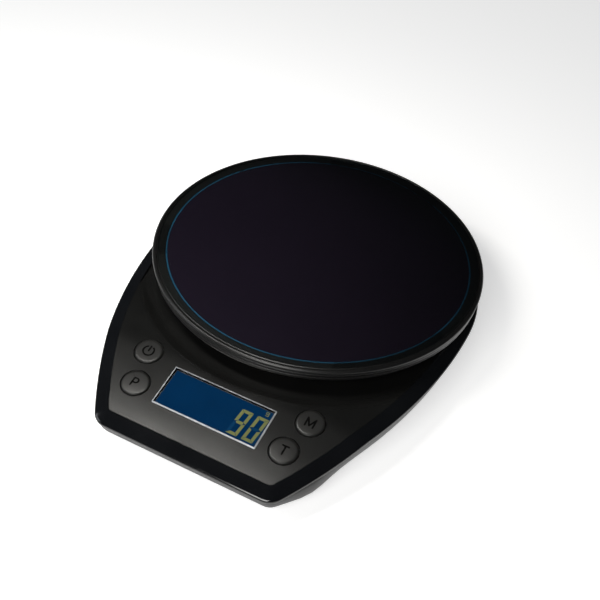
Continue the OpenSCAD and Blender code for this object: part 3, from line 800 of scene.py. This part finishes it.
# %% A tree of Geometry Nodes, wired by name
class Tree:
    """Builds a Geometry Nodes group. Inputs are (name, kind, value); node() links or sets sockets."""

    def __init__(self, name, inputs):
        self.group = bpy.data.node_groups.new(name, "GeometryNodeTree")
        face = self.group.interface
        face.new_socket("Geometry", in_out="INPUT", socket_type="NodeSocketGeometry")
        self.ids = {}
        for label, kind, value in inputs:
            socket = face.new_socket(label, in_out="INPUT", socket_type=kind)
            if value is not None:
                socket.default_value = value
            self.ids[label] = socket.identifier
        face.new_socket("Geometry", in_out="OUTPUT", socket_type="NodeSocketGeometry")
        self.start = self.group.nodes.new("NodeGroupInput")
        self.end = self.group.nodes.new("NodeGroupOutput")

    def given(self, label):
        return self.start.outputs[label]

    def node(self, kind, settings=None, inputs=None, out=0):
        node = self.group.nodes.new(kind)
        for key, value in (settings or {}).items():
            setattr(node, key, value)
        for key, value in (inputs or {}).items():
            for item in value if isinstance(value, list) else [value]:
                if isinstance(item, bpy.types.NodeSocket):
                    self.group.links.new(item, node.inputs[key])
                else:
                    node.inputs[key].default_value = item
        return node.outputs[out]

    def sum(self, kind, first, second=0.0):
        return self.node("ShaderNodeMath", {"operation": kind}, {0: first, 1: second})

    def ends(self, geometry):
        """Realizes the instances, sets the material and joins the result to the output."""
        real = self.node("GeometryNodeRealizeInstances", {}, {"Geometry": geometry})
        inputs = {"Geometry": real, "Material": self.given("Material")}
        done = self.node("GeometryNodeSetMaterial", {}, inputs)
        self.group.links.new(done, self.end.inputs[0])

    def make(self, name, points, values):
        """Runs the tree on a mesh of bare points and keeps the result as a plain mesh."""
        mesh = bpy.data.meshes.new(name)
        mesh.from_pydata([tuple(p) for p in points], [], [])
        piece = add_object(name, mesh)
        modifier = piece.modifiers.new("rule", "NODES")
        modifier.node_group = self.group
        for label, value in values.items():
            modifier[self.ids[label]] = value
        return outward(bake(piece))


def strip_tree():
    """Bars along Y at a pitch along X, each as long as the circle is there, on the given point."""
    kinds = [("Count", "NodeSocketInt", 7), ("Pitch", "NodeSocketFloat", 0.02)]
    kinds += [("Radius", "NodeSocketFloat", 0.07), ("Width", "NodeSocketFloat", 0.0004)]
    kinds += [("Height", "NodeSocketFloat", 0.0001), ("Material", "NodeSocketMaterial", None)]
    tree = Tree("strips_in_a_circle", kinds)
    reach = tree.sum("MULTIPLY", tree.given("Pitch"), tree.sum("SUBTRACT", tree.given("Count"), 1.0))
    start = tree.node("ShaderNodeCombineXYZ", {}, {"X": tree.sum("MULTIPLY", reach, -0.5)})
    step = tree.node("ShaderNodeCombineXYZ", {}, {"X": tree.given("Pitch")})
    row_in = {"Count": tree.given("Count"), "Start Location": start, "Offset": step}
    row = tree.node("GeometryNodeMeshLine", {}, row_in)
    place_x = tree.node("ShaderNodeSeparateXYZ", {}, {0: tree.node("GeometryNodeInputPosition")})
    radius_2 = tree.sum("MULTIPLY", tree.given("Radius"), tree.given("Radius"))
    half = tree.sum("SQRT", tree.sum("SUBTRACT", radius_2, tree.sum("MULTIPLY", place_x, place_x)))
    long = tree.sum("MULTIPLY", half, 2.0)
    sizes = {"X": tree.given("Width"), "Y": long, "Z": tree.given("Height")}
    scale = tree.node("ShaderNodeCombineXYZ", {}, sizes)
    bar = tree.node("GeometryNodeMeshCube", {}, {"Size": (1.0, 1.0, 1.0)})
    bars_in = {"Points": row, "Instance": bar, "Scale": scale}
    bars = tree.node("GeometryNodeInstanceOnPoints", {}, bars_in)
    whole_in = {"Points": tree.given("Geometry"), "Instance": bars}
    tree.ends(tree.node("GeometryNodeInstanceOnPoints", {}, whole_in))
    return tree


strips = strip_tree()
print("tree made:", strips.group.name)

# %% [markdown]
# ## Screws
# All the screws are one drawing at different sizes: a round head, a shank with a point, and a cross
# recess. A Geometry Nodes tree draws one from its sizes and puts it on every point it is given, so a
# change to the tree changes each screw in the scale.


# %% A tree that draws a screw and repeats it
def screw_tree():
    """A screw on each point, head first: the head starts at the point and the tip lies along +Z."""
    sizes = {"Head radius": 0.0029, "Head height": 0.0018, "Shank radius": 0.00115, "Length": 0.01}
    kinds = [(label, "NodeSocketFloat", value) for label, value in sizes.items()]
    kinds += [("Turn", "NodeSocketFloat", 0.0), ("Material", "NodeSocketMaterial", None)]
    tree = Tree("cross_head_screws", kinds)
    head_r, head_h = tree.given("Head radius"), tree.given("Head height")
    shank_r, length = tree.given("Shank radius"), tree.given("Length")

    def moved(mesh, up):
        lift = tree.node("ShaderNodeCombineXYZ", {}, {"Z": up})
        return tree.node("GeometryNodeTransform", {}, {"Geometry": mesh, "Translation": lift})

    def frustum(low_r, high_r, tall, sides):
        inputs = {"Vertices": sides, "Radius Top": high_r, "Radius Bottom": low_r, "Depth": tall}
        return tree.node("GeometryNodeMeshCone", {}, inputs)

    rim_h = tree.sum("MULTIPLY", head_h, 0.25)
    body_h = tree.sum("MULTIPLY", head_h, 0.75)
    small_r = tree.sum("MULTIPLY", head_r, 0.86)
    rim = frustum(small_r, head_r, rim_h, 32)
    body = moved(frustum(head_r, head_r, body_h, 32), rim_h)
    neck = tree.sum("SUBTRACT", length, head_h)
    straight = tree.sum("MULTIPLY", neck, 0.8)
    shank = moved(frustum(shank_r, shank_r, straight, 20), head_h)
    tip_h = tree.sum("MULTIPLY", neck, 0.2)
    tip_r = tree.sum("MULTIPLY", shank_r, 0.35)
    tip = moved(frustum(shank_r, tip_r, tip_h, 20), tree.sum("ADD", head_h, straight))
    solid = tree.node("GeometryNodeJoinGeometry", {}, {"Geometry": [rim, body, shank, tip]})
    solid = tree.node("GeometryNodeMergeByDistance", {}, {"Geometry": solid, "Distance": MERGE})
    long = tree.sum("MULTIPLY", head_r, 1.15)
    wide = tree.sum("MULTIPLY", head_r, 0.26)
    deep = tree.sum("MULTIPLY", head_h, 1.1)
    bars = []
    for x, y in ((long, wide), (wide, long)):
        size = tree.node("ShaderNodeCombineXYZ", {}, {"X": x, "Y": y, "Z": deep})
        bars.append(tree.node("GeometryNodeMeshCube", {}, {"Size": size}))
    cut_in = {"Mesh 1": solid, "Mesh 2": bars}
    cut_how = {"operation": "DIFFERENCE", "solver": "EXACT"}
    screw = tree.node("GeometryNodeMeshBoolean", cut_how, cut_in)
    turn = tree.node("ShaderNodeCombineXYZ", {}, {"X": tree.given("Turn")})
    placed = {"Points": tree.given("Geometry"), "Instance": screw, "Rotation": turn}
    tree.ends(tree.node("GeometryNodeInstanceOnPoints", {}, placed))
    return tree


screws = screw_tree()
CASE_SCREW_SPOTS = [(55, -76), (68, -10), (33, 57)]
BASE_SCREW_SPOTS = [(0, -25), (0, -35)]
TOP_SCREW_SPOTS = [(0, 25), (0, 35)]
CARRIER_SCREW_SPOTS = [(9.8, 0), (-9.8, 0)]


def mirrored(spots):
    return [(side * x, y) for x, y in spots for side in (1, -1)]


def screw_set(name, node, spots, head_r, head_h, shank_r, over=False):
    """Screws for one node, between its lowest and highest level; over stands them on their tips."""
    low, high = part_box(node)
    level = high.z if over else low.z
    points = [(hub.x + x * MM, hub.y + y * MM, level) for x, y in spots]
    values = {"Head radius": head_r * MM, "Head height": head_h * MM, "Shank radius": shank_r * MM}
    values |= {"Length": high.z - low.z, "Turn": math.pi if over else 0.0, "Material": zinc}
    piece = smooth(screws.make(name, points, values), 30)
    body = next(b for b, o in frame["bodies"].items() if o == frame["nodes"][node].parent)
    dress(piece, None, body, [node])
    return piece


arm_spots = [(arm.x / MM, arm.y / MM) for arm in arm_ends]
made = [
    screw_set("screws_case", "case_screws", mirrored(CASE_SCREW_SPOTS), 2.9, 1.8, 1.15),
    screw_set("screws_cell_base", "cell_base_screws", BASE_SCREW_SPOTS, 3.5, 2.2, 1.95),
    screw_set("screws_cell_top", "cell_top_screws", TOP_SCREW_SPOTS, 3.5, 2.2, 1.95, over=True),
    screw_set("screws_carrier", "carrier_screws", CARRIER_SCREW_SPOTS, 2.3, 1.3, 1.15),
    screw_set("screws_tray", "tray_screws", arm_spots, 2.6, 1.2, 1.15),
]
print("screw sets:", {p.name: len(p.data.polygons) for p in made})

# %% [markdown]
# ## Feet and the battery door
# Four rubber feet sit in shallow wells. Each is turned with a rounded edge and two rings that grip the
# table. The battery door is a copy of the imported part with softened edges, and a round ribbed grip for a
# finger.

# %% Feet, turned once for each place
FOOT_SPOTS = [(30, -106), (48, 28)]
foot_low, foot_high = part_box("rubber_feet")
FOOT_R = 6 * MM
FOOT_EDGE = 0.6 * MM
sole, groove = foot_low.z, foot_low.z + 0.35 * MM
foot_section = [
    (0.0, groove), (1.9 * MM, groove, True), (2.3 * MM, sole, True), (2.9 * MM, sole, True),
    (3.3 * MM, groove, True), (3.9 * MM, groove, True), (4.3 * MM, sole, True),
    (FOOT_R - FOOT_EDGE, sole, True), (FOOT_R, sole + FOOT_EDGE, True), (FOOT_R, foot_high.z),
    (0.0, foot_high.z),
]
foot_points = rounded(foot_section, 0.18 * MM, 3)
foot_spots = [Vector((hub.x + x * MM, hub.y + y * MM, 0)) for x, y in mirrored(FOOT_SPOTS)]
feet = smooth(joined("grip_feet", [lathe("foot", foot_points, at, 64) for at in foot_spots]), 40)
dress(feet, rubber_black, "base", ["rubber_feet"])

door = softened("battery_door", "door_panel", 30)
bevel = door.modifiers.new("edge", "BEVEL")
bevel.width = 0.25 * MM
bevel.segments = 2
bevel.limit_method = "ANGLE"
bake(door)
dress(smooth(door, 30), lower_black, "battery_hatch", ["battery_door"])
door_low, door_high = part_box("battery_door")
GRIP_R = 5 * MM
GRIP_H = 0.3 * MM
GRIP_SUNK = 0.05 * MM
grip_at = (door_low + door_high) / 2
grip_at.z = door_low.z - GRIP_H / 2 + GRIP_SUNK
grip_sizes = {"Count": 7, "Pitch": 1.4 * MM, "Radius": GRIP_R, "Width": 0.6 * MM, "Height": GRIP_H}
grip = strips.make("door_grip", [grip_at], grip_sizes | {"Material": lower_black})
dress(grip, None, "battery_hatch")
print("feet faces:", len(feet.data.polygons), "grip bars:", len(grip.data.polygons) // 6)

# %% [markdown]
# ## Round keys with sunk legends
# A key is a turned cap with a soft rim and a flange that holds it under the deck. Its legend is sunk
# into the top, so it reads as a darker line. Strokes are cut one at a time with round-ended cutters, and
# each cut face takes the cutter's dark material.

# %% Legend strokes and the keys
STROKE_W = 0.8 * MM
LEGEND_H = 5.0 * MM
SIGN_R = 2.95 * MM
LEGEND_DEPTH = 0.25 * MM
BUTTON_PROUD = 0.6 * MM
HALF_H = (LEGEND_H - STROKE_W) / 2


def stroke(a, b, steps=8):
    """The outline of a bar from a to b with round ends."""
    a, b = Vector(a), Vector(b)
    along = (b - a).normalized()
    turn = math.atan2(along.y, along.x)
    points = []
    for centre, start in ((b, turn - math.pi / 2), (a, turn + math.pi / 2)):
        for i in range(steps + 1):
            t = start + math.pi * i / steps
            points.append((centre.x + STROKE_W / 2 * math.cos(t), centre.y + STROKE_W / 2 * math.sin(t)))
    return points


def bow(centre, radius, start, end, steps=20):
    """The outline of a curved bar, from start to end in degrees."""
    turns = [math.radians(start + (end - start) * i / steps) for i in range(steps + 1)]
    sides = ((radius + STROKE_W / 2, turns), (radius - STROKE_W / 2, turns[::-1]))
    return [(centre[0] + r * math.cos(t), centre[1] + r * math.sin(t)) for r, ts in sides for t in ts]


P_LEFT = -1.45 * MM
P_TURN = -0.15 * MM
P_LOW = -0.2 * MM
LEGENDS = {
    "power": [bow((0, 0), SIGN_R - STROKE_W / 2, 116, 424), stroke((0, 0), (0, SIGN_R - 0.3 * MM))],
    "mode": [
        stroke((-0.9 * HALF_H, -HALF_H), (-0.9 * HALF_H, HALF_H)),
        stroke((0.9 * HALF_H, -HALF_H), (0.9 * HALF_H, HALF_H)),
        stroke((-0.9 * HALF_H, HALF_H), (0, -0.75 * HALF_H)),
        stroke((0.9 * HALF_H, HALF_H), (0, -0.75 * HALF_H)),
    ],
    "count": [
        stroke((P_LEFT, -HALF_H), (P_LEFT, HALF_H)), stroke((P_LEFT, HALF_H), (P_TURN, HALF_H)),
        stroke((P_LEFT, P_LOW), (P_TURN, P_LOW)),
        bow((P_TURN, (HALF_H + P_LOW) / 2), (HALF_H - P_LOW) / 2, -90, 90),
    ],
    "tare": [stroke((0, -HALF_H), (0, HALF_H)), stroke((-0.7 * HALF_H, HALF_H), (0.7 * HALF_H, HALF_H))],
}
KEY_SECTION = [
    (0.0, -4.7 * MM), (2.2 * MM, -4.7 * MM), (2.2 * MM, -4.3 * MM), (7.3 * MM, -4.3 * MM),
    (7.3 * MM, -3.35 * MM), (BUTTON_R, -3.35 * MM), (BUTTON_R, BUTTON_PROUD - 0.75 * MM),
    (BUTTON_R - 0.1 * MM, BUTTON_PROUD - 0.45 * MM), (BUTTON_R - 0.35 * MM, BUTTON_PROUD - 0.2 * MM),
    (BUTTON_R - 0.75 * MM, BUTTON_PROUD - 0.06 * MM), (BUTTON_R - 1.4 * MM, BUTTON_PROUD),
    (0.0, BUTTON_PROUD),
]
for key, (x, y) in KEYS.items():
    cap = lathe("keycap_" + key, KEY_SECTION, Vector((x, y, 0)), 96)
    cap.data.materials.append(key_grey)
    for points in LEGENDS[key]:
        shifted = np.array(points) + (x, y)
        cutter = prism("stroke", shifted, BUTTON_PROUD - LEGEND_DEPTH, BUTTON_PROUD + 1 * MM)
        cutter.data.materials.append(ink_dark)
        cut(cap, cutter)
    place(smooth(cap, 35), deck_frame)
    dress(cap, None, "key_" + key, ["button_" + key])
print("keys:", list(KEYS))

# %% [markdown]
# ## The display
# The display is a stack: a clear lens with bevelled edges, a blue glass, and thin figures between them.
# The bevels catch the lamp and shine like cut glass; that shine is painted into their colour as a
# bright painted highlight. The figures are seven bars each, mitred on the inside and square at the outer
# corners; the bars that are off leave a faint shadow in the glass.


# %% Finishes for the lens and the glass
def painted_bevel_highlight():
    """Painted highlight on the lens's polished bevel: a bright colour, with fine uneven streaks from the
    cutter.
    """
    m = Maker("painted_bevel_highlight")
    streak = m.noise(2.5 * MM, 3, 0.6)
    # painted highlight: the bevel's shine is given as a bright grey base colour
    base = m.mix(streak, (0.12, 0.125, 0.135), (0.62, 0.64, 0.67))
    inputs = {"Base Color": base, "Roughness": (0.15 + streak * 0.2).clamped()}
    inputs["Normal"] = m.bump(streak, 0.02 * MM)
    return m.finish(m.surface(inputs))


def lit_glass(name, colour, glow, rough):
    """A coloured glass with light behind it, a little uneven as a light guide is."""
    m = Maker(name)
    cloud = m.noise(18 * MM, 2)
    grain = m.noise(0.4 * MM, 2)
    low, high = tuple(c * 0.85 for c in colour), tuple(c * 1.15 for c in colour)
    base = m.mix(cloud, low, high)
    inputs = {"Base Color": base, "Emission Color": base, "Emission Strength": glow, "Roughness": rough}
    inputs |= {"Specular IOR Level": 0.0, "Normal": m.bump(grain, 0.002 * MM)}
    return m.finish(m.surface(inputs))


bevel_highlight_paint = painted_bevel_highlight()
lcd_blue = lit_glass("lcd_blue", (0.0003, 0.0108, 0.033), 1.0, 0.6)
figure_olive = lit_glass("figure_olive", (0.085, 0.090, 0.033), 1.0, 0.6)
figure_off = lit_glass("figure_off", (0.002, 0.017, 0.043), 1.0, 0.6)
guide_blue = lit_glass("guide_blue", (0.05, 0.2, 0.5), 0.5, 0.4)

# %% Lens, display glass and figures
LENS_BEVEL = 0.55 * MM
LENS_BEVEL_H = 0.35 * MM


def sheet_loft(name, rings):
    """A block through rectangles given as (width, depth, corner, height)."""
    rows = [np.column_stack([soft_rectangle(w, d, c), np.full(28, z)]) for w, d, c, z in rings]
    return loft(name, rows, caps=(0, len(rows) - 1))


rim_level = LENS_PROUD - LENS_BEVEL_H
lens = sheet_loft("lens_block", [
    (LENS_W - 0.2 * MM, LENS_D - 0.2 * MM, 0.5 * MM, LENS_PROUD - LENS_T),
    (LENS_W, LENS_D, 0.6 * MM, LENS_PROUD - LENS_T + 0.1 * MM),
    (LENS_W, LENS_D, 0.6 * MM, rim_level - 0.05 * MM),
    (LENS_W - 0.1 * MM, LENS_D - 0.1 * MM, 0.6 * MM, rim_level),
    (LENS_W - 2 * LENS_BEVEL, LENS_D - 2 * LENS_BEVEL, 0.3 * MM, LENS_PROUD),
])
lens.data.materials.append(lens_pane)
# the bevel and side faces take the painted highlight
lens.data.materials.append(bevel_highlight_paint)
for face in lens.data.polygons:
    face.material_index = 0 if is_level(face) else 1
dress(place(smooth(lens, 20), deck_frame), None, "base", ["display_lens"])

FRAME_W = 0.8 * MM  # the black edge printed on the display glass takes this off its width
GLASS_W = 49.8 * MM
GLASS_D = 19.2 * MM
glass_top = LENS_PROUD - LENS_T - 0.1 * MM
glass_low_z = glass_top - 2.2 * MM
module = sheet_loft("display_module", [
    (GLASS_W - 0.2 * MM, GLASS_D - 0.2 * MM, 0.3 * MM, glass_low_z),
    (GLASS_W, GLASS_D, 0.4 * MM, glass_low_z + 0.1 * MM),
    (GLASS_W, GLASS_D, 0.4 * MM, glass_top - 0.1 * MM),
    (GLASS_W - 0.2 * MM, GLASS_D - 0.2 * MM, 0.3 * MM, glass_top),
    (GLASS_W - FRAME_W, GLASS_D - FRAME_W, 0.2 * MM, glass_top),
])
for finish in (lcd_blue, border_ink):
    module.data.materials.append(finish)
for face in module.data.polygons:
    face.material_index = 0 if len(face.vertices) > 4 else 1
dress(place(smooth(module, 20), deck_frame), None, "base", ["display_glass"])

DIGIT_W = 5.4 * MM
DIGIT_H = 13.4 * MM
SEGMENT_W = 1.45 * MM
SEGMENT_GAP = 0.12 * MM
LEAN = math.tan(math.radians(6))
FIGURE_T = 0.1 * MM
DIGITS = {
    "nine": ((13.5 * MM, -1.5 * MM), (0, 1, 2, 3, 5, 6)),
    "zero": ((21.1 * MM, -1.5 * MM), (0, 1, 2, 3, 4, 5)),
}
SEG_X = (DIGIT_W - SEGMENT_W) / 2
SEG_Y = (DIGIT_H - SEGMENT_W) / 2
CORNERS = [(-SEG_X, SEG_Y), (SEG_X, SEG_Y), (SEG_X, 0), (SEG_X, -SEG_Y), (-SEG_X, -SEG_Y), (-SEG_X, 0)]
SEGMENTS = [(0, 1), (1, 2), (2, 3), (3, 4), (4, 5), (5, 0), (5, 2)]
AT_CORNER = [(1, 1), (1, 0), (0, 1), (1, 1), (1, 0), (0, 1)]


def segment(k, at):
    """Bar k of a leaning figure that stands at at. Its outer edge runs out to the figure's corners."""
    a, b = (Vector(CORNERS[i]) for i in SEGMENTS[k])
    along = (b - a).normalized()
    across = Vector((-along.y, along.x))
    half, w = (b - a).length / 2 - SEGMENT_GAP, SEGMENT_W / 2
    if k == 6:
        shape = [(-half, 0), (w - half, w), (half - w, w), (half, 0), (half - w, -w), (w - half, -w)]
    else:
        first, last = AT_CORNER[k]
        shape = [(-half - first * w, w), (half + last * w, w), (half - w, -w), (w - half, -w)]
    flat = [(a + b) / 2 + along * u + across * v for u, v in shape]
    return [(at[0] + p.x + p.y * LEAN, at[1] + p.y) for p in flat]


def thin_bars(name, outlines, material, replaced=()):
    """Joins thin prisms on top of the glass into one piece."""
    bars = [prism("bar", points, glass_top, glass_top + FIGURE_T) for points in outlines]
    return dress(place(joined(name, bars), deck_frame), material, "base", replaced)


def box_at(x, y, w, h):
    """A flat rectangle about (x, y), in millimetres."""
    signs = ((-1, -1), (1, -1), (1, 1), (-1, 1))
    return [((x + sx * w / 2) * MM, (y + sy * h / 2) * MM) for sx, sy in signs]


lit = [segment(k, at) for at, on in DIGITS.values() for k in on]
lit += [box_at(22.3, 7.6 + dy, 1.5, 0.3) for dy in (0.9, 0, -0.9)]
lit += [box_at(22.95, 7.6, 0.3, 2.1), box_at(21.65, 8.05, 0.3, 1.2)]
thin_bars("figures_lit", lit, figure_olive, ["display_digits"])
unlit = [segment(k, at) for at, on in DIGITS.values() for k in range(7) if k not in on]
thin_bars("figures_off", unlit, figure_off)
print("figures:", len(lit), "bars on,", len(unlit), "off")

# %% [markdown]
# ## Finishes for the inner parts
# The parts that stay as the model made them only need a finish. Each material slot of the record is
# given one material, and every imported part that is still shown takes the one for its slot.

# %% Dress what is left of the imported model
INNER = {
    "case_satin": satin_black, "case_lower": lower_black, "case_gloss": gloss_black,
    "key_grey": key_grey, "rubber": rubber_black, "steel": zinc, "aluminium": aluminium,
    "nickel": nickel, "clear_glass": glass_pane, "clear_lens": lens_pane, "solar_film": film_purple,
    "border_ink": border_ink, "ring_ink": ring_ink, "foam": foam_grey, "red_lead": lead_red,
    "green_lead": lead_green, "circuit_board": board_green, "epoxy": epoxy_black,
    "component": ceramic_tan, "switch_black": switch_black, "plunger_white": nylon_white,
    "display_blue": lcd_blue, "figure_olive": figure_olive, "light_guide": guide_blue,
    "holder_white": holder_white, "contact_rubber": contact_pink, "gauge_silicone": silicone_white,
}
slot_of = {part["node"]: part["material_slot"] for part in frame["record"]["subparts"]}
shown = []
for name, node in frame["nodes"].items():
    finish_name = slot_of[name]
    node.data.materials.clear()
    node.data.materials.append(INNER[finish_name])
    if not node.hide_render:
        shown.append(name)
print("packed parts still shown:", shown)

# %% [markdown]
# ## Stage, light and camera
# The floor is plain and nearly white, and it lights the body's underside. A long, narrow lamp hangs
# level above the front, so the satin deck shines most along its front edge; two weak, wide lamps, one at
# the left and one in front, lift the shadows. The world is dark, because a black object takes its look
# from what it mirrors.

# %% The floor
FLOOR_SIZE = 6.0
floor_mesh = bpy.data.meshes.new("floor")
half = FLOOR_SIZE / 2
floor_corners = [(-half, -half, 0), (half, -half, 0), (half, half, 0), (-half, half, 0)]
floor_mesh.from_pydata(floor_corners, [], [(0, 1, 2, 3)])
floor = add_object("floor", floor_mesh)
f = Maker("floor_white")
floor_in = {"Base Color": (0.85, 0.85, 0.85, 1), "Roughness": 0.9, "Emission Color": (1, 1, 1, 1)}
floor_in["Emission Strength"] = 0.6
floor_in["Specular IOR Level"] = 0.1
floor_mesh.materials.append(f.finish(f.surface(floor_in)))

# %% The lamps and the world
def lamp(name, place_at, size, power, colour, target=None):
    """A flat lamp of size (width, depth). Without a target it faces straight down."""
    light = bpy.data.lights.new(name, "AREA")
    light.shape = "RECTANGLE"
    light.size, light.size_y = size
    light.energy = power
    light.color = colour
    made = bpy.data.objects.new(name, light)
    bpy.context.scene.collection.objects.link(made)
    made.location = place_at
    if target:
        made.rotation_euler = (Vector(target) - made.location).to_track_quat("-Z", "Y").to_euler()
    return made


lamp("key_strip", (-0.10, hub.y - 0.104, 0.26), (0.19, 0.025), 0.75, (1.0, 0.98, 0.93))
lamp("side_soft", (-0.9, -0.5, 0.5), (0.5, 0.5), 2.0, (0.93, 0.96, 1.0), (0, 0, 0.02))
lamp("front_soft", (0.0, -0.75, 0.6), (0.4, 0.4), 5.0, (1.0, 0.99, 0.97), (0, 0, 0.02))

world = bpy.data.worlds.new("studio")
world.use_nodes = True
sky = world.node_tree.nodes["Background"]
sky.inputs["Color"].default_value = (0.8, 0.9, 1.0, 1)
sky.inputs["Strength"].default_value = 0.028
bpy.context.scene.world = world

# %% The camera
AZIMUTH = math.radians(22.34)
ELEVATION = math.radians(43.27)
ROLL = math.radians(6.43)
DISTANCE = 0.4463
AIM = hub + Vector((8.08 * MM, -37.4 * MM, platform_top))
flat_back = Vector((math.sin(AZIMUTH), -math.cos(AZIMUTH), 0))
back = flat_back * math.cos(ELEVATION) + Vector((0, 0, math.sin(ELEVATION)))
level_right = Vector((math.cos(AZIMUTH), math.sin(AZIMUTH), 0))
level_up = back.cross(level_right)
right = level_right * math.cos(ROLL) + level_up * math.sin(ROLL)
up = level_up * math.cos(ROLL) - level_right * math.sin(ROLL)
lens_data = bpy.data.cameras.new("camera")
lens_data.sensor_width = 36
lens_data.lens = 57.43
lens_data.clip_start = 0.01
camera = bpy.data.objects.new("camera", lens_data)
bpy.context.scene.collection.objects.link(camera)
turned = Matrix((right, up, back)).transposed().to_4x4()
camera.matrix_world = Matrix.Translation(AIM + back * DISTANCE) @ turned
bpy.context.scene.camera = camera
bpy.context.scene.view_settings.view_transform = "Standard"
print("camera at", tuple(round(v, 4) for v in camera.matrix_world.translation))
